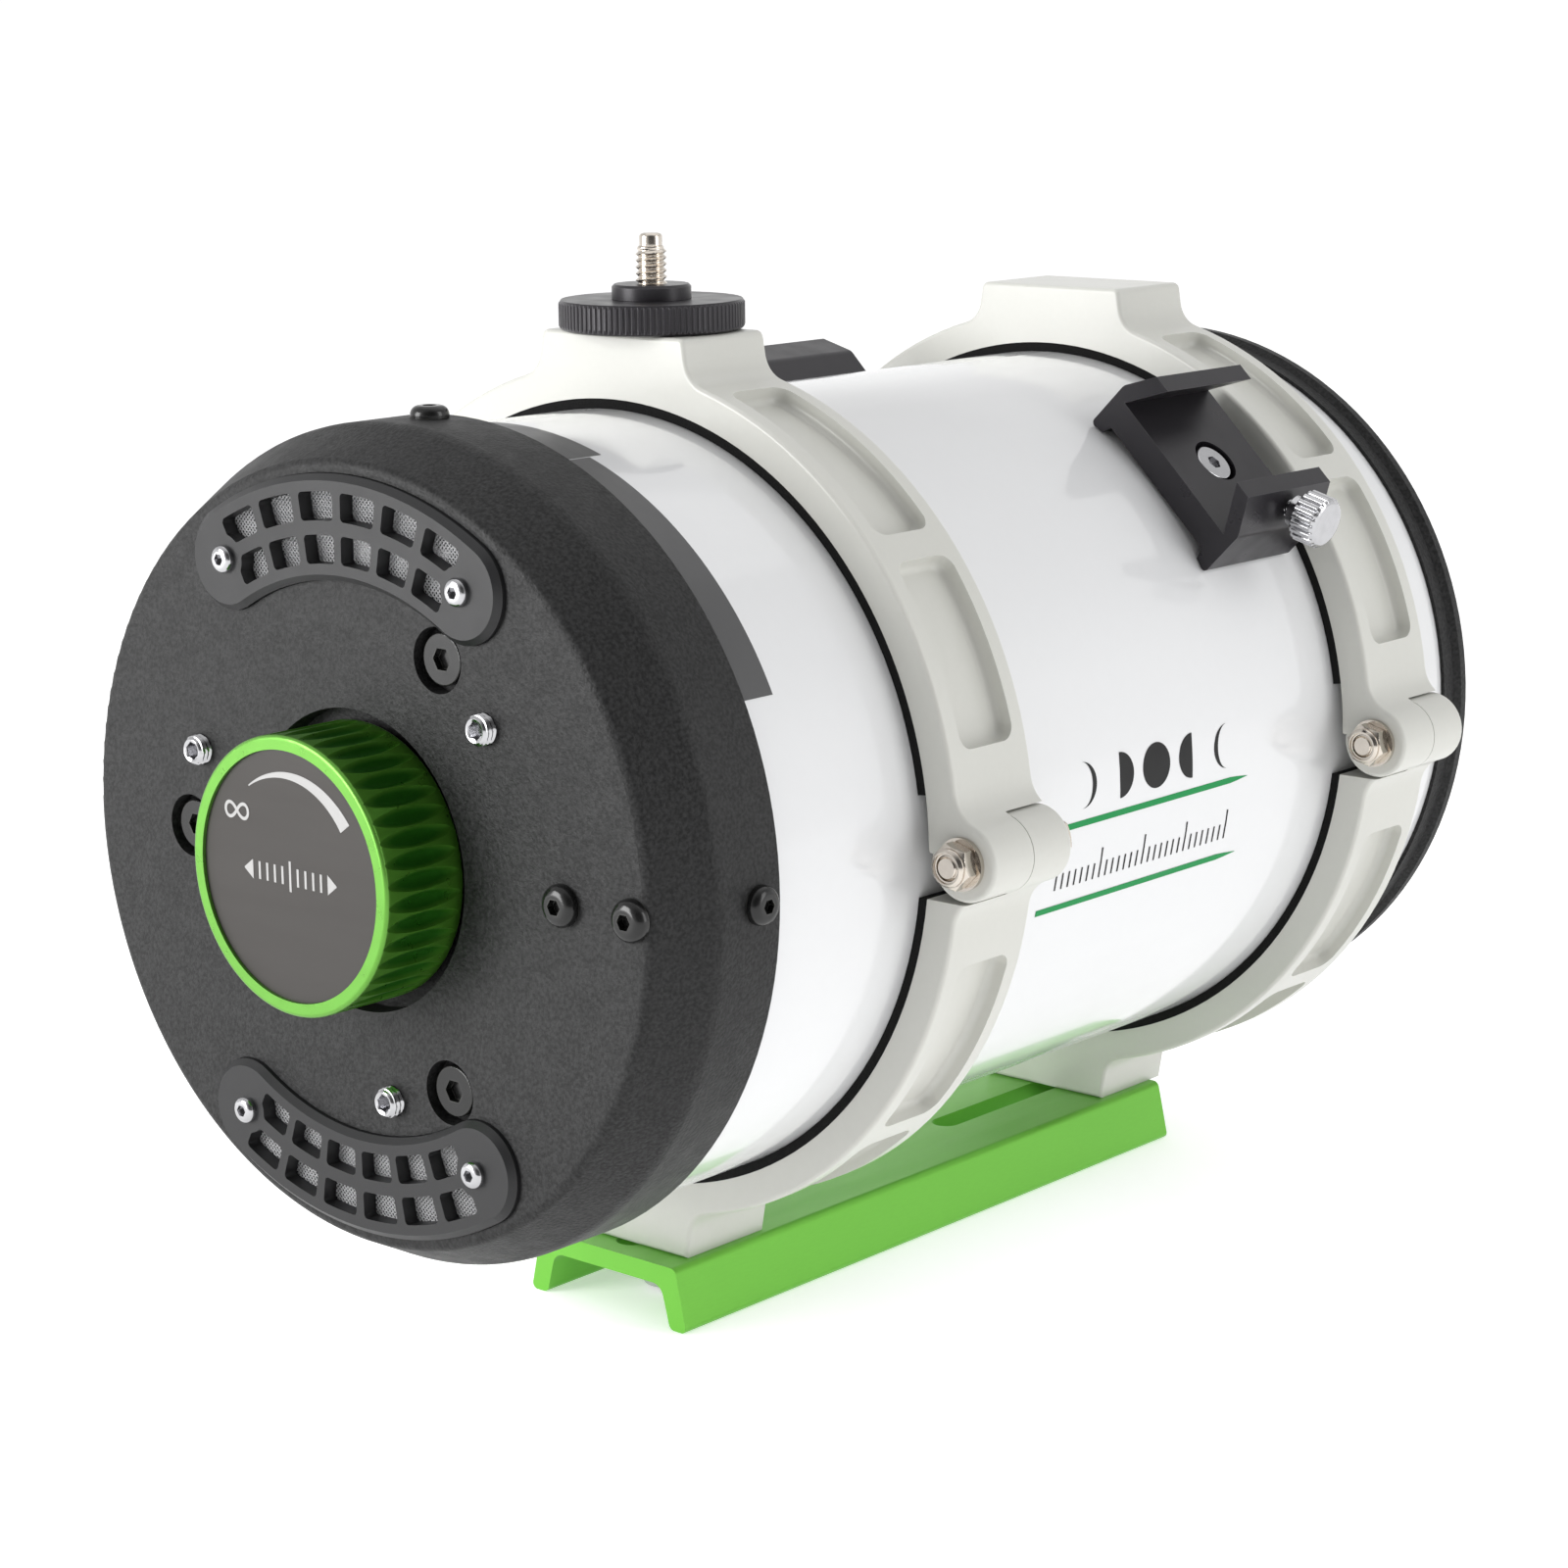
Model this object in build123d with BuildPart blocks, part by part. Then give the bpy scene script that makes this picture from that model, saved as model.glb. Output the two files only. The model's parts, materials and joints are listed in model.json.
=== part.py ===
from build123d import *
import os
from math import cos, radians, sin, sqrt

# A short catadioptric telescope tube, held by two hinged rings on a dovetail bar.
# +Y runs along the optical axis from the focus knob to the front window, +Z is up,
# and the origin is the middle of the dovetail bar's underside.

# ---- driving dimensions, millimetres -------------------------------------------------
AXIS_Z = 107.7            # optical axis above the bar's underside
RUNNING = 0.06            # radial clearance of a turning fit
SEAT = 0.05               # radial clearance of a fixed fit
M3_R = 1.5                # shank radii of the screws
M4_R = 2.0
M5_R = 2.5
M6_R = 3.0

# tube and rear cell
TUBE_R = 78.0
TUBE_WALL = 2.0
TUBE_REAR_Y = -131.5
TUBE_FRONT_Y = 111.5
FACE_Y = -149.5           # flat face of the rear cell
FACE_R = 74.8
BEVEL_Y = -137.5
RIM_R = 81.0
CELL_EDGE_Y = -121.5      # front edge of the rear cell's rim
CELL_WALL = 6.0
CELL_INNER_R = 74.0
KNOB_RECESS_R = 29.0
KNOB_RECESS_DEPTH = 5.0
HUB_PAD_R = 33.0
HUB_WALL = 4.0
SHAFT_HOLE_R = 12.0

# vents: a curved grille over a curved opening, one above and one below the knob
VENT_R = 62.8
VENT_HALF_ANGLE = 30.2
VENT_WIDTH = 17.4
VENT_DRAFT = 1.2
VENT_PROUD = 2.0
VENT_SINK = 1.6
VENT_HOLE_WIDTH = 14.4
MESH_THICKNESS = 0.5
WINDOW_COLUMNS = 6
WINDOW_PITCH = 9.5        # degrees
WINDOW_BAR = 1.8          # degrees
WINDOW_HEIGHT = 5.4
WINDOW_ROWS = (56.1, 64.1)
WINDOW_CORNER = 0.9
VENT_BOSS_R = 4.7

# screws of the rear cell
PULL_R = 47.0
PULL_SINK = 3.6           # depth and radius of a pull screw's counterbore
PULL_BORE_R = 6.2
PULL_ANGLES = (60, 180, 300)
PUSH_R = 46.0
PUSH_ANGLES = (40, 160, 280)
PUSH_PROUD = 2.6
GUIDE_R = 54.0
GUIDE_ROD_R = 3.0
GUIDE_ANGLES = (0, 120, 240)
GUIDE_LENGTH = 25.0
GUIDE_RELIEF = 10.0       # blind holes in the mirror's back
STOP_SCREW_R = 71.0
RIM_SCREW_Y = -127.3
RIM_SCREW_ANGLES = (0, 90, 180, 270)

# focus knob, shaft and mirror
KNOB_R = 26.5
KNOB_FRONT_Y = -166.5
KNOB_BACK_Y = -147.0
KNOB_RIM = 2.7
KNOB_ROUND = 0.8
KNOB_PLATE_SINK = 0.7
KNOB_PLATE_THICKNESS = 1.2
FLUTES = 42
FLUTE_R = 2.1
FLUTE_DEPTH = 1.15
FLUTE_FRONT_GAP = 0.5      # flute's ends from the knob's ends
FLUTE_BACK_GAP = 1.2
SHAFT_R = 5.0
TILT_PLATE_R = 60.0
TILT_PLATE_Y = -137.5
TILT_PLATE_THICKNESS = 6.0
CARRIER_Y = -122.0
CARRIER_THICKNESS = 5.0
MIRROR_R = 66.0
MIRROR_HOLE_R = 20.0
MIRROR_EDGE = 15.0
MIRROR_SAG = 4.95
CUSHION = 1.0

# front cell, corrector and camera port
FRONT_CELL_Y = 108.3
FRONT_FACE_Y = 116.3
FRONT_CELL_R = 80.2
LENS_R = 66.0
LENS_REAR_Y = 102.0
LENS_EDGE = 10.0
LENS_FRONT_SAG = 10.1
LENS_REAR_SAG = 13.1
LENS_REAR_R = 62.0         # inside the flat rim that sits on the gasket
LENS_HOLE_R = 26.0
APERTURE_R = 62.5
PORT_THREAD_R = 24.0      # M48 camera thread
PORT_NECK_R = 30.0
PORT_FACE_Y = 121.0

# rings
RING_Y = (-66.1, 76.5)    # middle of the rear and of the front ring
RING_WIDTH = 24.0
RING_INNER_R = 80.0
RING_OUTER_R = 86.8
LINER_GAP = 0.08
HINGE_X = 88.0
HINGE_Z = -0.7            # below the optical axis
KNUCKLE_R = 7.6
KNUCKLE_GAP = 0.5
HINGE_NUT_R = 4.6         # across the corners, halved
HINGE_NUT = 4.2
HINGE_HEAD = 3.5
HINGE_WASHER_R = 5.1
HINGE_WASHER = 1.0
BOSS_TOP = 92.8
BOSS_HALF = 19.0
FOOT_BOTTOM = -94.4
FOOT_HALF = 16.5
SHELF_Z = -8.8
SPLIT_GAP = 1.0
EAR_TIP_X = -105.0
EAR_HEIGHT = 9.0
CLAMP_X = -96.5
CLAMP_HOLE_R = 4.0        # lower ear, so that the screw swings clear
CLAMP_KNOB_R = 8.0
CLAMP_KNOB = 9.0
POCKET_DEPTH = 3.4
POCKET_WIDTH = 16.0
POCKET_CORNER = 3.2
RIM_ROUND = 0.9
UPPER_POCKETS = ((13, 38), (42, 72), (108, 138), (142, 167))
LOWER_POCKETS = ((-42, -15), (-71, -46), (-134, -109), (-167, -138))

# dovetail bar
BAR_LENGTH = 168.4
BAR_HEIGHT = 13.3
BAR_TOP_HALF = 19.0
BAR_BOTTOM_HALF = 22.0
BAR_WEB = 4.2
BAR_CHANNEL_HALF = 17.4
BAR_SLOT_START = 24.5      # from the bar's middle
BAR_SLOT_END = 79.9
BAR_SLOT_WIDTH = 6.6
BAR_WASHER_T = 1.6

# camera stud on the rear ring
STUD_R = 3.175            # 1/4 inch photographic thread
STUD_ROOT_R = 2.6         # core inside the boss, the wheel and the collar
STUD_TOP = 111.8
STUD_BOTTOM = 83.5
WHEEL_R = 18.5
WHEEL_HEIGHT = 6.0
WHEEL_RIBS = 96
COLLAR_R = 7.9
COLLAR_HEIGHT = 2.9

# finder shoes
SHOE_ANGLES = (45, 135)
SHOE_REAR_Y = (28.2, 20.8)
SHOE_LENGTH = 30.8
SHOE_FLOOR = 85.0
SHOE_TOP = 95.0
SHOE_SINK = 2.9           # counterbore of the shoe's screw
SHOE_BORE_R = 5.3
THUMB_Y = 17.2            # thumbscrew from the shoe's rear end
THUMB_X = 18.75           # middle of the sloping wall, in the shoe's plane
THUMB_Z = 91.2
THUMB_HEAD_R = 5.6
THUMB_HEAD = 6.6


# ---- planes and shared shapes --------------------------------------------------------
AXIAL = Plane(origin=(0, 0, AXIS_Z), x_dir=(0, 1, 0), z_dir=(1, 0, 0))
OPTICAL_AXIS = Axis((0, 0, AXIS_Z), (0, 1, 0))


def section(y):
    """Plane across the optical axis at y, upright, with its normal towards the rear."""
    return Plane(origin=(0, y, AXIS_Z), x_dir=(1, 0, 0), z_dir=(0, -1, 0))


def polar(radius, angle):
    """Local place at an angle in degrees round a sketch's origin."""
    return (radius * cos(radians(angle)), radius * sin(radians(angle)))


def rear_point(radius, angle, y):
    """Plane facing the rear, centred at a polar place about the optical axis."""
    x, up = polar(radius, angle)
    return Plane(origin=(x, y, AXIS_Z + up), x_dir=(1, 0, 0), z_dir=(0, -1, 0))


def radial_plane(radius, angle, y):
    """Plane facing outwards, at a distance from the optical axis."""
    out = Vector(cos(radians(angle)), 0, sin(radians(angle)))
    return Plane(origin=Vector(0, y, AXIS_Z) + out * radius, x_dir=(0, 1, 0), z_dir=out)


def turned(points):
    """Solid of revolution about the optical axis from (y, radius) points."""
    with BuildPart() as body:
        with BuildSketch(AXIAL):
            with BuildLine():
                Polyline(*points, close=True)
            make_face()
        revolve(axis=OPTICAL_AXIS)
    return body.part


def screw(plane, head_r, head_h, shank_r, length, socket_r, rounding):
    """Socket screw whose head sits on the plane and points along its normal."""
    with BuildPart() as body:
        with BuildSketch(plane):
            Circle(head_r)
        extrude(amount=head_h)
        top = body.faces().sort_by(Axis(plane.origin, plane.z_dir))[-1]
        fillet(top.edges(), rounding)
        with BuildSketch(plane):
            Circle(shank_r)
        extrude(amount=-length)
        with BuildSketch(plane.offset(head_h)):
            RegularPolygon(socket_r, 6)
        extrude(amount=-0.6 * head_h, mode=Mode.SUBTRACT)
    return body.part


def washer(plane, inner_r, outer_r, thickness):
    """Flat ring standing on the plane along its normal."""
    with BuildPart() as body:
        with BuildSketch(plane):
            Circle(outer_r)
            Circle(inner_r, mode=Mode.SUBTRACT)
        extrude(amount=thickness)
    return body.part


def save(builder, name):
    """Label a finished piece and write it to its own file."""
    builder.part.label = name
    export_step(builder.part, f"parts/{name}.step")


os.makedirs("parts", exist_ok=True)

# ---- tube shell ----------------------------------------------------------------------
with BuildPart() as tube_shell:
    add(turned([
        (TUBE_REAR_Y, TUBE_R - TUBE_WALL),
        (TUBE_REAR_Y, TUBE_R),
        (TUBE_FRONT_Y, TUBE_R),
        (TUBE_FRONT_Y, TUBE_R - TUBE_WALL),
    ]))
    for angle in RIM_SCREW_ANGLES:
        with BuildSketch(radial_plane(RIM_R, angle, RIM_SCREW_Y)):
            Circle(M4_R + SEAT)
        extrude(amount=-8, mode=Mode.SUBTRACT)
save(tube_shell, "tube_shell")

# ---- rear cell -----------------------------------------------------------------------
inner_face_y = FACE_Y + CELL_WALL
recess_floor_y = FACE_Y + KNOB_RECESS_DEPTH
hub_front_y = recess_floor_y + HUB_WALL
seat_y = TUBE_REAR_Y - 0.2
vent_pocket_y = FACE_Y + VENT_SINK
vent_turns = (0, 180)


def vent_outline(width, turn):
    """Curved slot that follows the vent's arc, turned about the optical axis."""
    with BuildSketch() as outline:
        start = 90 + turn - VENT_HALF_ANGLE
        SlotArc(CenterArc((0, 0), VENT_R, start, 2 * VENT_HALF_ANGLE), width)
    return outline.sketch


def vent_screw_places(turn):
    """Polar angles of a vent's two screws."""
    return (90 + turn - VENT_HALF_ANGLE, 90 + turn + VENT_HALF_ANGLE)


with BuildPart() as rear_cell:
    add(turned([
        (recess_floor_y, SHAFT_HOLE_R),
        (recess_floor_y, KNOB_RECESS_R),
        (FACE_Y, KNOB_RECESS_R),
        (FACE_Y, FACE_R),
        (BEVEL_Y, RIM_R),
        (CELL_EDGE_Y, RIM_R),
        (CELL_EDGE_Y, TUBE_R + SEAT),
        (seat_y, TUBE_R + SEAT),
        (seat_y, CELL_INNER_R),
        (inner_face_y, CELL_INNER_R - 2),
        (inner_face_y, HUB_PAD_R),
        (hub_front_y, HUB_PAD_R),
        (hub_front_y, SHAFT_HOLE_R),
    ]))
    face_edge = rear_cell.edges().filter_by(GeomType.CIRCLE).filter_by(
        lambda e: abs(e.radius - FACE_R) < 0.1)
    rim_edge = rear_cell.edges().filter_by(GeomType.CIRCLE).filter_by(
        lambda e: abs(e.radius - RIM_R) < 0.1 and e.center().Y < BEVEL_Y + 1)
    fillet(face_edge, 2.2)
    fillet(rim_edge, 4.5)
    front_edge = rear_cell.edges().filter_by(GeomType.CIRCLE).filter_by(
        lambda e: abs(e.radius - RIM_R) < 0.1 and e.center().Y > CELL_EDGE_Y - 1)
    fillet(front_edge, 0.5)
    for turn in vent_turns:
        with BuildSketch(section(vent_pocket_y)):
            add(vent_outline(VENT_WIDTH + 2 * VENT_DRAFT + 0.2, turn))
        extrude(amount=VENT_SINK + 1, mode=Mode.SUBTRACT)
        with BuildSketch(section(inner_face_y + 1)):
            add(vent_outline(VENT_HOLE_WIDTH, turn))
            with BuildSketch(mode=Mode.SUBTRACT):
                for angle in vent_screw_places(turn):
                    with Locations(polar(VENT_R, angle)):
                        Circle(VENT_BOSS_R + 3.5)
        extrude(amount=CELL_WALL + 2, mode=Mode.SUBTRACT)
        for angle in vent_screw_places(turn):
            with BuildSketch(rear_point(VENT_R, angle, vent_pocket_y)):
                Circle(M3_R + SEAT)
            extrude(amount=-3.2, mode=Mode.SUBTRACT)
    for angle in PULL_ANGLES:
        with BuildSketch(rear_point(PULL_R, angle, FACE_Y + PULL_SINK)):
            Circle(PULL_BORE_R)
        extrude(amount=5, mode=Mode.SUBTRACT)
        with BuildSketch(rear_point(PULL_R, angle, FACE_Y)):
            Circle(M5_R + SEAT)
        extrude(amount=-8, mode=Mode.SUBTRACT)
    for angle in PUSH_ANGLES:
        with BuildSketch(rear_point(PUSH_R, angle, FACE_Y)):
            Circle(M6_R + RUNNING)
        extrude(amount=-8, mode=Mode.SUBTRACT)
    for radius in (GUIDE_R, STOP_SCREW_R):
        with BuildSketch(rear_point(radius, 0, FACE_Y)):
            Circle(M4_R + SEAT)
        extrude(amount=-4, mode=Mode.SUBTRACT)
    for angle in RIM_SCREW_ANGLES:
        with BuildSketch(radial_plane(RIM_R + 1, angle, RIM_SCREW_Y)):
            Circle(M4_R + SEAT)
        extrude(amount=-4.5, mode=Mode.SUBTRACT)
save(rear_cell, "rear_cell")

with BuildPart() as rim_screws:
    for angle in RIM_SCREW_ANGLES:
        add(screw(
            radial_plane(RIM_R, angle, RIM_SCREW_Y),
            head_r=3.7, head_h=2.3, shank_r=M4_R, length=5.5, socket_r=1.45, rounding=1.7))
save(rim_screws, "rim_screws")

# ---- vent meshes, grilles and their screws -------------------------------------------
mesh_front_y = vent_pocket_y
grille_back_y = mesh_front_y - MESH_THICKNESS
grille_face_y = FACE_Y - VENT_PROUD


def vent_mesh(turn):
    """Curved sheet of wire cloth behind a grille."""
    with BuildPart() as mesh:
        with BuildSketch(section(mesh_front_y)):
            add(vent_outline(VENT_WIDTH, turn))
            for angle in vent_screw_places(turn):
                with Locations(polar(VENT_R, angle)):
                    Circle(M3_R + SEAT, mode=Mode.SUBTRACT)
        extrude(amount=MESH_THICKNESS)
    return mesh


def vent_windows(turn):
    """Two rows of windows, cut away round the screw bosses."""
    with BuildSketch() as windows:
        for inner_r in WINDOW_ROWS:
            for column in range(WINDOW_COLUMNS):
                start = 90 + turn + (column - WINDOW_COLUMNS / 2) * WINDOW_PITCH + WINDOW_BAR / 2
                span = WINDOW_PITCH - WINDOW_BAR
                with BuildLine():
                    inner = CenterArc((0, 0), inner_r, start, span)
                    outer = CenterArc((0, 0), inner_r + WINDOW_HEIGHT, start, span)
                    Line(inner @ 0, outer @ 0)
                    Line(inner @ 1, outer @ 1)
                make_face()
        for angle in vent_screw_places(turn):
            with Locations(polar(VENT_R, angle)):
                Circle(VENT_BOSS_R, mode=Mode.SUBTRACT)
        fillet(windows.vertices(), WINDOW_CORNER)
    return windows.sketch


def vent_grille(turn):
    """Raised grille with sloping sides."""
    with BuildPart() as grille:
        with BuildSketch(section(grille_back_y)):
            add(vent_outline(VENT_WIDTH + 2 * VENT_DRAFT, turn))
        extrude(amount=grille_back_y - grille_face_y)
        outer = grille.faces().sort_by(Axis.Y)[0]
        chamfer(outer.edges(), VENT_DRAFT)
        with BuildSketch(section(grille_back_y)):
            add(vent_windows(turn))
            for angle in vent_screw_places(turn):
                with Locations(polar(VENT_R, angle)):
                    Circle(M3_R + SEAT)
        extrude(amount=VENT_PROUD + VENT_SINK, mode=Mode.SUBTRACT)
    return grille


for place, turn in zip(("top", "bottom"), vent_turns):
    save(vent_mesh(turn), f"vent_mesh_{place}")
    save(vent_grille(turn), f"vent_grille_{place}")

with BuildPart() as vent_screws:
    for turn in vent_turns:
        for angle in vent_screw_places(turn):
            add(screw(
                rear_point(VENT_R, angle, grille_face_y),
                head_r=2.7, head_h=1.7, shank_r=M3_R, length=6.2, socket_r=1.2, rounding=1.2))
save(vent_screws, "vent_screws")

# ---- collimation and guide screws ----------------------------------------------------
with BuildPart() as pull_screws:
    for angle in PULL_ANGLES:
        add(screw(
            rear_point(PULL_R, angle, FACE_Y + PULL_SINK),
            head_r=4.9, head_h=2.5, shank_r=M5_R, length=11.5, socket_r=2.3, rounding=0.3))
save(pull_screws, "pull_screws")


def push_screw(angle):
    """Set screw with a hexagon socket, standing proud of the cell's face."""
    with BuildPart() as body:
        with BuildSketch(rear_point(PUSH_R, angle, TILT_PLATE_Y - SEAT)):
            Circle(M6_R)
        extrude(amount=TILT_PLATE_Y - SEAT - FACE_Y + PUSH_PROUD)
        ends = body.faces().sort_by(Axis.Y)
        chamfer([ends[0].edges(), ends[-1].edges()], 0.4)
        with BuildSketch(rear_point(PUSH_R, angle, FACE_Y - PUSH_PROUD)):
            RegularPolygon(1.73, 6)
        extrude(amount=-3, mode=Mode.SUBTRACT)
    return body


for number, angle in enumerate(PUSH_ANGLES, start=1):
    save(push_screw(angle), f"push_screw_{number}")

with BuildPart() as stop_screws:
    for radius in (GUIDE_R, STOP_SCREW_R):
        add(screw(
            rear_point(radius, 0, FACE_Y),
            head_r=4.0, head_h=2.5, shank_r=M4_R, length=4.0, socket_r=1.6, rounding=1.9))
save(stop_screws, "stop_screws")

# ---- tilt plate, bearing and guide rods ----------------------------------------------
tilt_front_y = TILT_PLATE_Y + TILT_PLATE_THICKNESS
BEARING_R = 9.0

with BuildPart() as tilt_plate:
    with BuildSketch(section(tilt_front_y)):
        Circle(TILT_PLATE_R)
        Circle(BEARING_R + SEAT, mode=Mode.SUBTRACT)
        for angle in PULL_ANGLES:
            with Locations(polar(PULL_R, angle)):
                Circle(M5_R + SEAT, mode=Mode.SUBTRACT)
        for angle in GUIDE_ANGLES:
            with Locations(polar(GUIDE_R, angle)):
                Circle(GUIDE_ROD_R + SEAT, mode=Mode.SUBTRACT)
    extrude(amount=TILT_PLATE_THICKNESS)
save(tilt_plate, "tilt_plate")

with BuildPart() as focus_bearing:
    add(turned([
        (TILT_PLATE_Y, SHAFT_R + RUNNING),
        (TILT_PLATE_Y, BEARING_R),
        (tilt_front_y, BEARING_R),
        (tilt_front_y, SHAFT_R + RUNNING),
    ]))
save(focus_bearing, "focus_bearing")

with BuildPart() as guide_rods:
    for angle in GUIDE_ANGLES:
        with BuildSketch(rear_point(GUIDE_R, angle, TILT_PLATE_Y)):
            Circle(GUIDE_ROD_R)
        extrude(amount=-GUIDE_LENGTH)
save(guide_rods, "guide_rods")

# ---- focus knob, plate, shaft and collar ---------------------------------------------
plate_back_y = KNOB_FRONT_Y + KNOB_PLATE_SINK + KNOB_PLATE_THICKNESS
plate_r = KNOB_R - KNOB_RIM

# Each flute is lens-shaped: a spindle lies half sunk along the knob's side.
flute_z = KNOB_R - FLUTE_DEPTH + FLUTE_R
flute_middle = (KNOB_FRONT_Y + FLUTE_FRONT_GAP + KNOB_BACK_Y - FLUTE_BACK_GAP) / 2
flute_half = (KNOB_BACK_Y - FLUTE_BACK_GAP) - flute_middle
spindle_half = flute_half / sqrt(FLUTE_DEPTH / FLUTE_R)

with BuildPart() as flute_cutter:
    with BuildSketch(AXIAL):
        with BuildLine():
            front = (flute_middle - spindle_half, flute_z)
            back = (flute_middle + spindle_half, flute_z)
            ThreePointArc(front, (flute_middle, flute_z + FLUTE_R), back)
            Line(back, front)
        make_face()
    revolve(axis=Axis((0, 0, AXIS_Z + flute_z), (0, 1, 0)))
flute = flute_cutter.part

with BuildPart() as focus_knob:
    add(turned([
        (KNOB_FRONT_Y, plate_r),
        (KNOB_FRONT_Y, KNOB_R),
        (KNOB_BACK_Y, KNOB_R),
        (KNOB_BACK_Y, SHAFT_R + SEAT),
        (plate_back_y, SHAFT_R + SEAT),
        (plate_back_y, plate_r),
    ]))
    outer_edges = focus_knob.edges().filter_by(GeomType.CIRCLE).filter_by(
        lambda e: abs(e.radius - KNOB_R) < 0.1)
    fillet(outer_edges, KNOB_ROUND)
    for turn in range(FLUTES):
        add(flute.rotate(OPTICAL_AXIS, turn * 360 / FLUTES), mode=Mode.SUBTRACT)
save(focus_knob, "focus_knob")

with BuildPart() as knob_plate:
    add(turned([
        (KNOB_FRONT_Y + KNOB_PLATE_SINK, 0),
        (KNOB_FRONT_Y + KNOB_PLATE_SINK, plate_r - SEAT),
        (plate_back_y, plate_r - SEAT),
        (plate_back_y, 0),
    ]))
save(knob_plate, "knob_plate")

shaft_front_y = CARRIER_Y + 18
collar_back_y = TILT_PLATE_Y - 0.1
with BuildPart() as focus_shaft:
    add(turned([
        (plate_back_y, 0),
        (plate_back_y, SHAFT_R),
        (collar_back_y - 2, SHAFT_R),
        (collar_back_y - 2, BEARING_R - 1),
        (collar_back_y, BEARING_R - 1),
        (collar_back_y, SHAFT_R),
        (shaft_front_y, SHAFT_R),
        (shaft_front_y, 0),
    ]))
save(focus_shaft, "focus_shaft")

# ---- mirror carrier, cushion, mirror and retaining ring ------------------------------
carrier_front_y = CARRIER_Y + CARRIER_THICKNESS
mirror_back_y = carrier_front_y + CUSHION
mirror_edge_y = mirror_back_y + MIRROR_EDGE
mirror_hole_y = mirror_edge_y - MIRROR_SAG * (1 - (MIRROR_HOLE_R / MIRROR_R) ** 2)
sleeve_front_y = mirror_hole_y + 6

with BuildPart() as mirror_carrier:
    add(turned([
        (CARRIER_Y - 4, SHAFT_R + RUNNING),
        (CARRIER_Y - 4, 13),
        (CARRIER_Y, 13),
        (CARRIER_Y, MIRROR_R - 3),
        (carrier_front_y, MIRROR_R - 3),
        (carrier_front_y, MIRROR_HOLE_R - SEAT),
        (sleeve_front_y, MIRROR_HOLE_R - SEAT),
        (sleeve_front_y, MIRROR_HOLE_R - 4),
        (carrier_front_y + 4, MIRROR_HOLE_R - 4),
        (carrier_front_y + 4, SHAFT_R + RUNNING),
    ]))
    for angle in GUIDE_ANGLES:
        with BuildSketch(rear_point(GUIDE_R, angle, CARRIER_Y - 1)):
            Circle(GUIDE_ROD_R + RUNNING)
        extrude(amount=-CARRIER_THICKNESS - 2, mode=Mode.SUBTRACT)
save(mirror_carrier, "mirror_carrier")

with BuildPart() as mirror_cushion:
    add(turned([
        (carrier_front_y, 24),
        (carrier_front_y, GUIDE_R - 5),
        (mirror_back_y, GUIDE_R - 5),
        (mirror_back_y, 24),
    ]))
save(mirror_cushion, "mirror_cushion")

with BuildPart() as primary_mirror:
    with BuildSketch(AXIAL):
        with BuildLine():
            curve = ThreePointArc(
                (mirror_hole_y, MIRROR_HOLE_R),
                (mirror_edge_y - MIRROR_SAG * (1 - (0.65) ** 2), 0.65 * MIRROR_R),
                (mirror_edge_y, MIRROR_R),
            )
            Polyline(curve @ 1, (mirror_back_y, MIRROR_R), (mirror_back_y, MIRROR_HOLE_R), curve @ 0)
        make_face()
    revolve(axis=OPTICAL_AXIS)
    for angle in GUIDE_ANGLES:
        with BuildSketch(rear_point(GUIDE_R, angle, mirror_back_y)):
            Circle(4.5)
        extrude(amount=-GUIDE_RELIEF, mode=Mode.SUBTRACT)
save(primary_mirror, "primary_mirror")

with BuildPart() as mirror_retainer:
    add(turned([
        (mirror_hole_y + 0.8, MIRROR_HOLE_R),
        (mirror_hole_y + 0.8, MIRROR_HOLE_R + 6),
        (mirror_hole_y + 4.8, MIRROR_HOLE_R + 5),
        (mirror_hole_y + 4.8, MIRROR_HOLE_R),
    ]))
save(mirror_retainer, "mirror_retainer")

# ---- front cell, corrector, gasket and retaining ring --------------------------------
lens_front_y = LENS_REAR_Y + LENS_EDGE
seat_lip_y = LENS_REAR_Y - 2.2

with BuildPart() as front_cell:
    add(turned([
        (FRONT_CELL_Y, TUBE_R + SEAT),
        (FRONT_CELL_Y, 78.9),
        (112.0, 78.9),
        (113.4, FRONT_CELL_R),
        (115.4, FRONT_CELL_R),
        (FRONT_FACE_Y, 79.3),
        (FRONT_FACE_Y, 69.5),
        (FRONT_FACE_Y - 1.5, LENS_R + 0.4),
        (LENS_REAR_Y - 1.2, LENS_R + 0.4),
        (LENS_REAR_Y - 1.2, APERTURE_R),
        (seat_lip_y - 2, APERTURE_R),
        (seat_lip_y - 2, TUBE_R - TUBE_WALL - SEAT),
        (TUBE_FRONT_Y + 0.1, TUBE_R - TUBE_WALL - SEAT),
        (TUBE_FRONT_Y + 0.1, TUBE_R + SEAT),
    ]))
save(front_cell, "front_cell")

with BuildPart() as lens_gasket:
    add(turned([
        (LENS_REAR_Y - 1.2, APERTURE_R + 0.6),
        (LENS_REAR_Y - 1.2, LENS_R),
        (LENS_REAR_Y, LENS_R),
        (LENS_REAR_Y, APERTURE_R + 0.6),
    ]))
save(lens_gasket, "lens_gasket")


def lens_front(radius):
    """Station of the corrector's front surface, which is hollow towards the sky."""
    return lens_front_y - LENS_FRONT_SAG * (1 - (radius / LENS_R) ** 2)


def lens_rear(radius):
    """Station of the corrector's rear surface, which bulges into the tube."""
    return LENS_REAR_Y - LENS_REAR_SAG * (1 - (radius / LENS_REAR_R) ** 2)


lens_mid_r = 46.0

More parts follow.
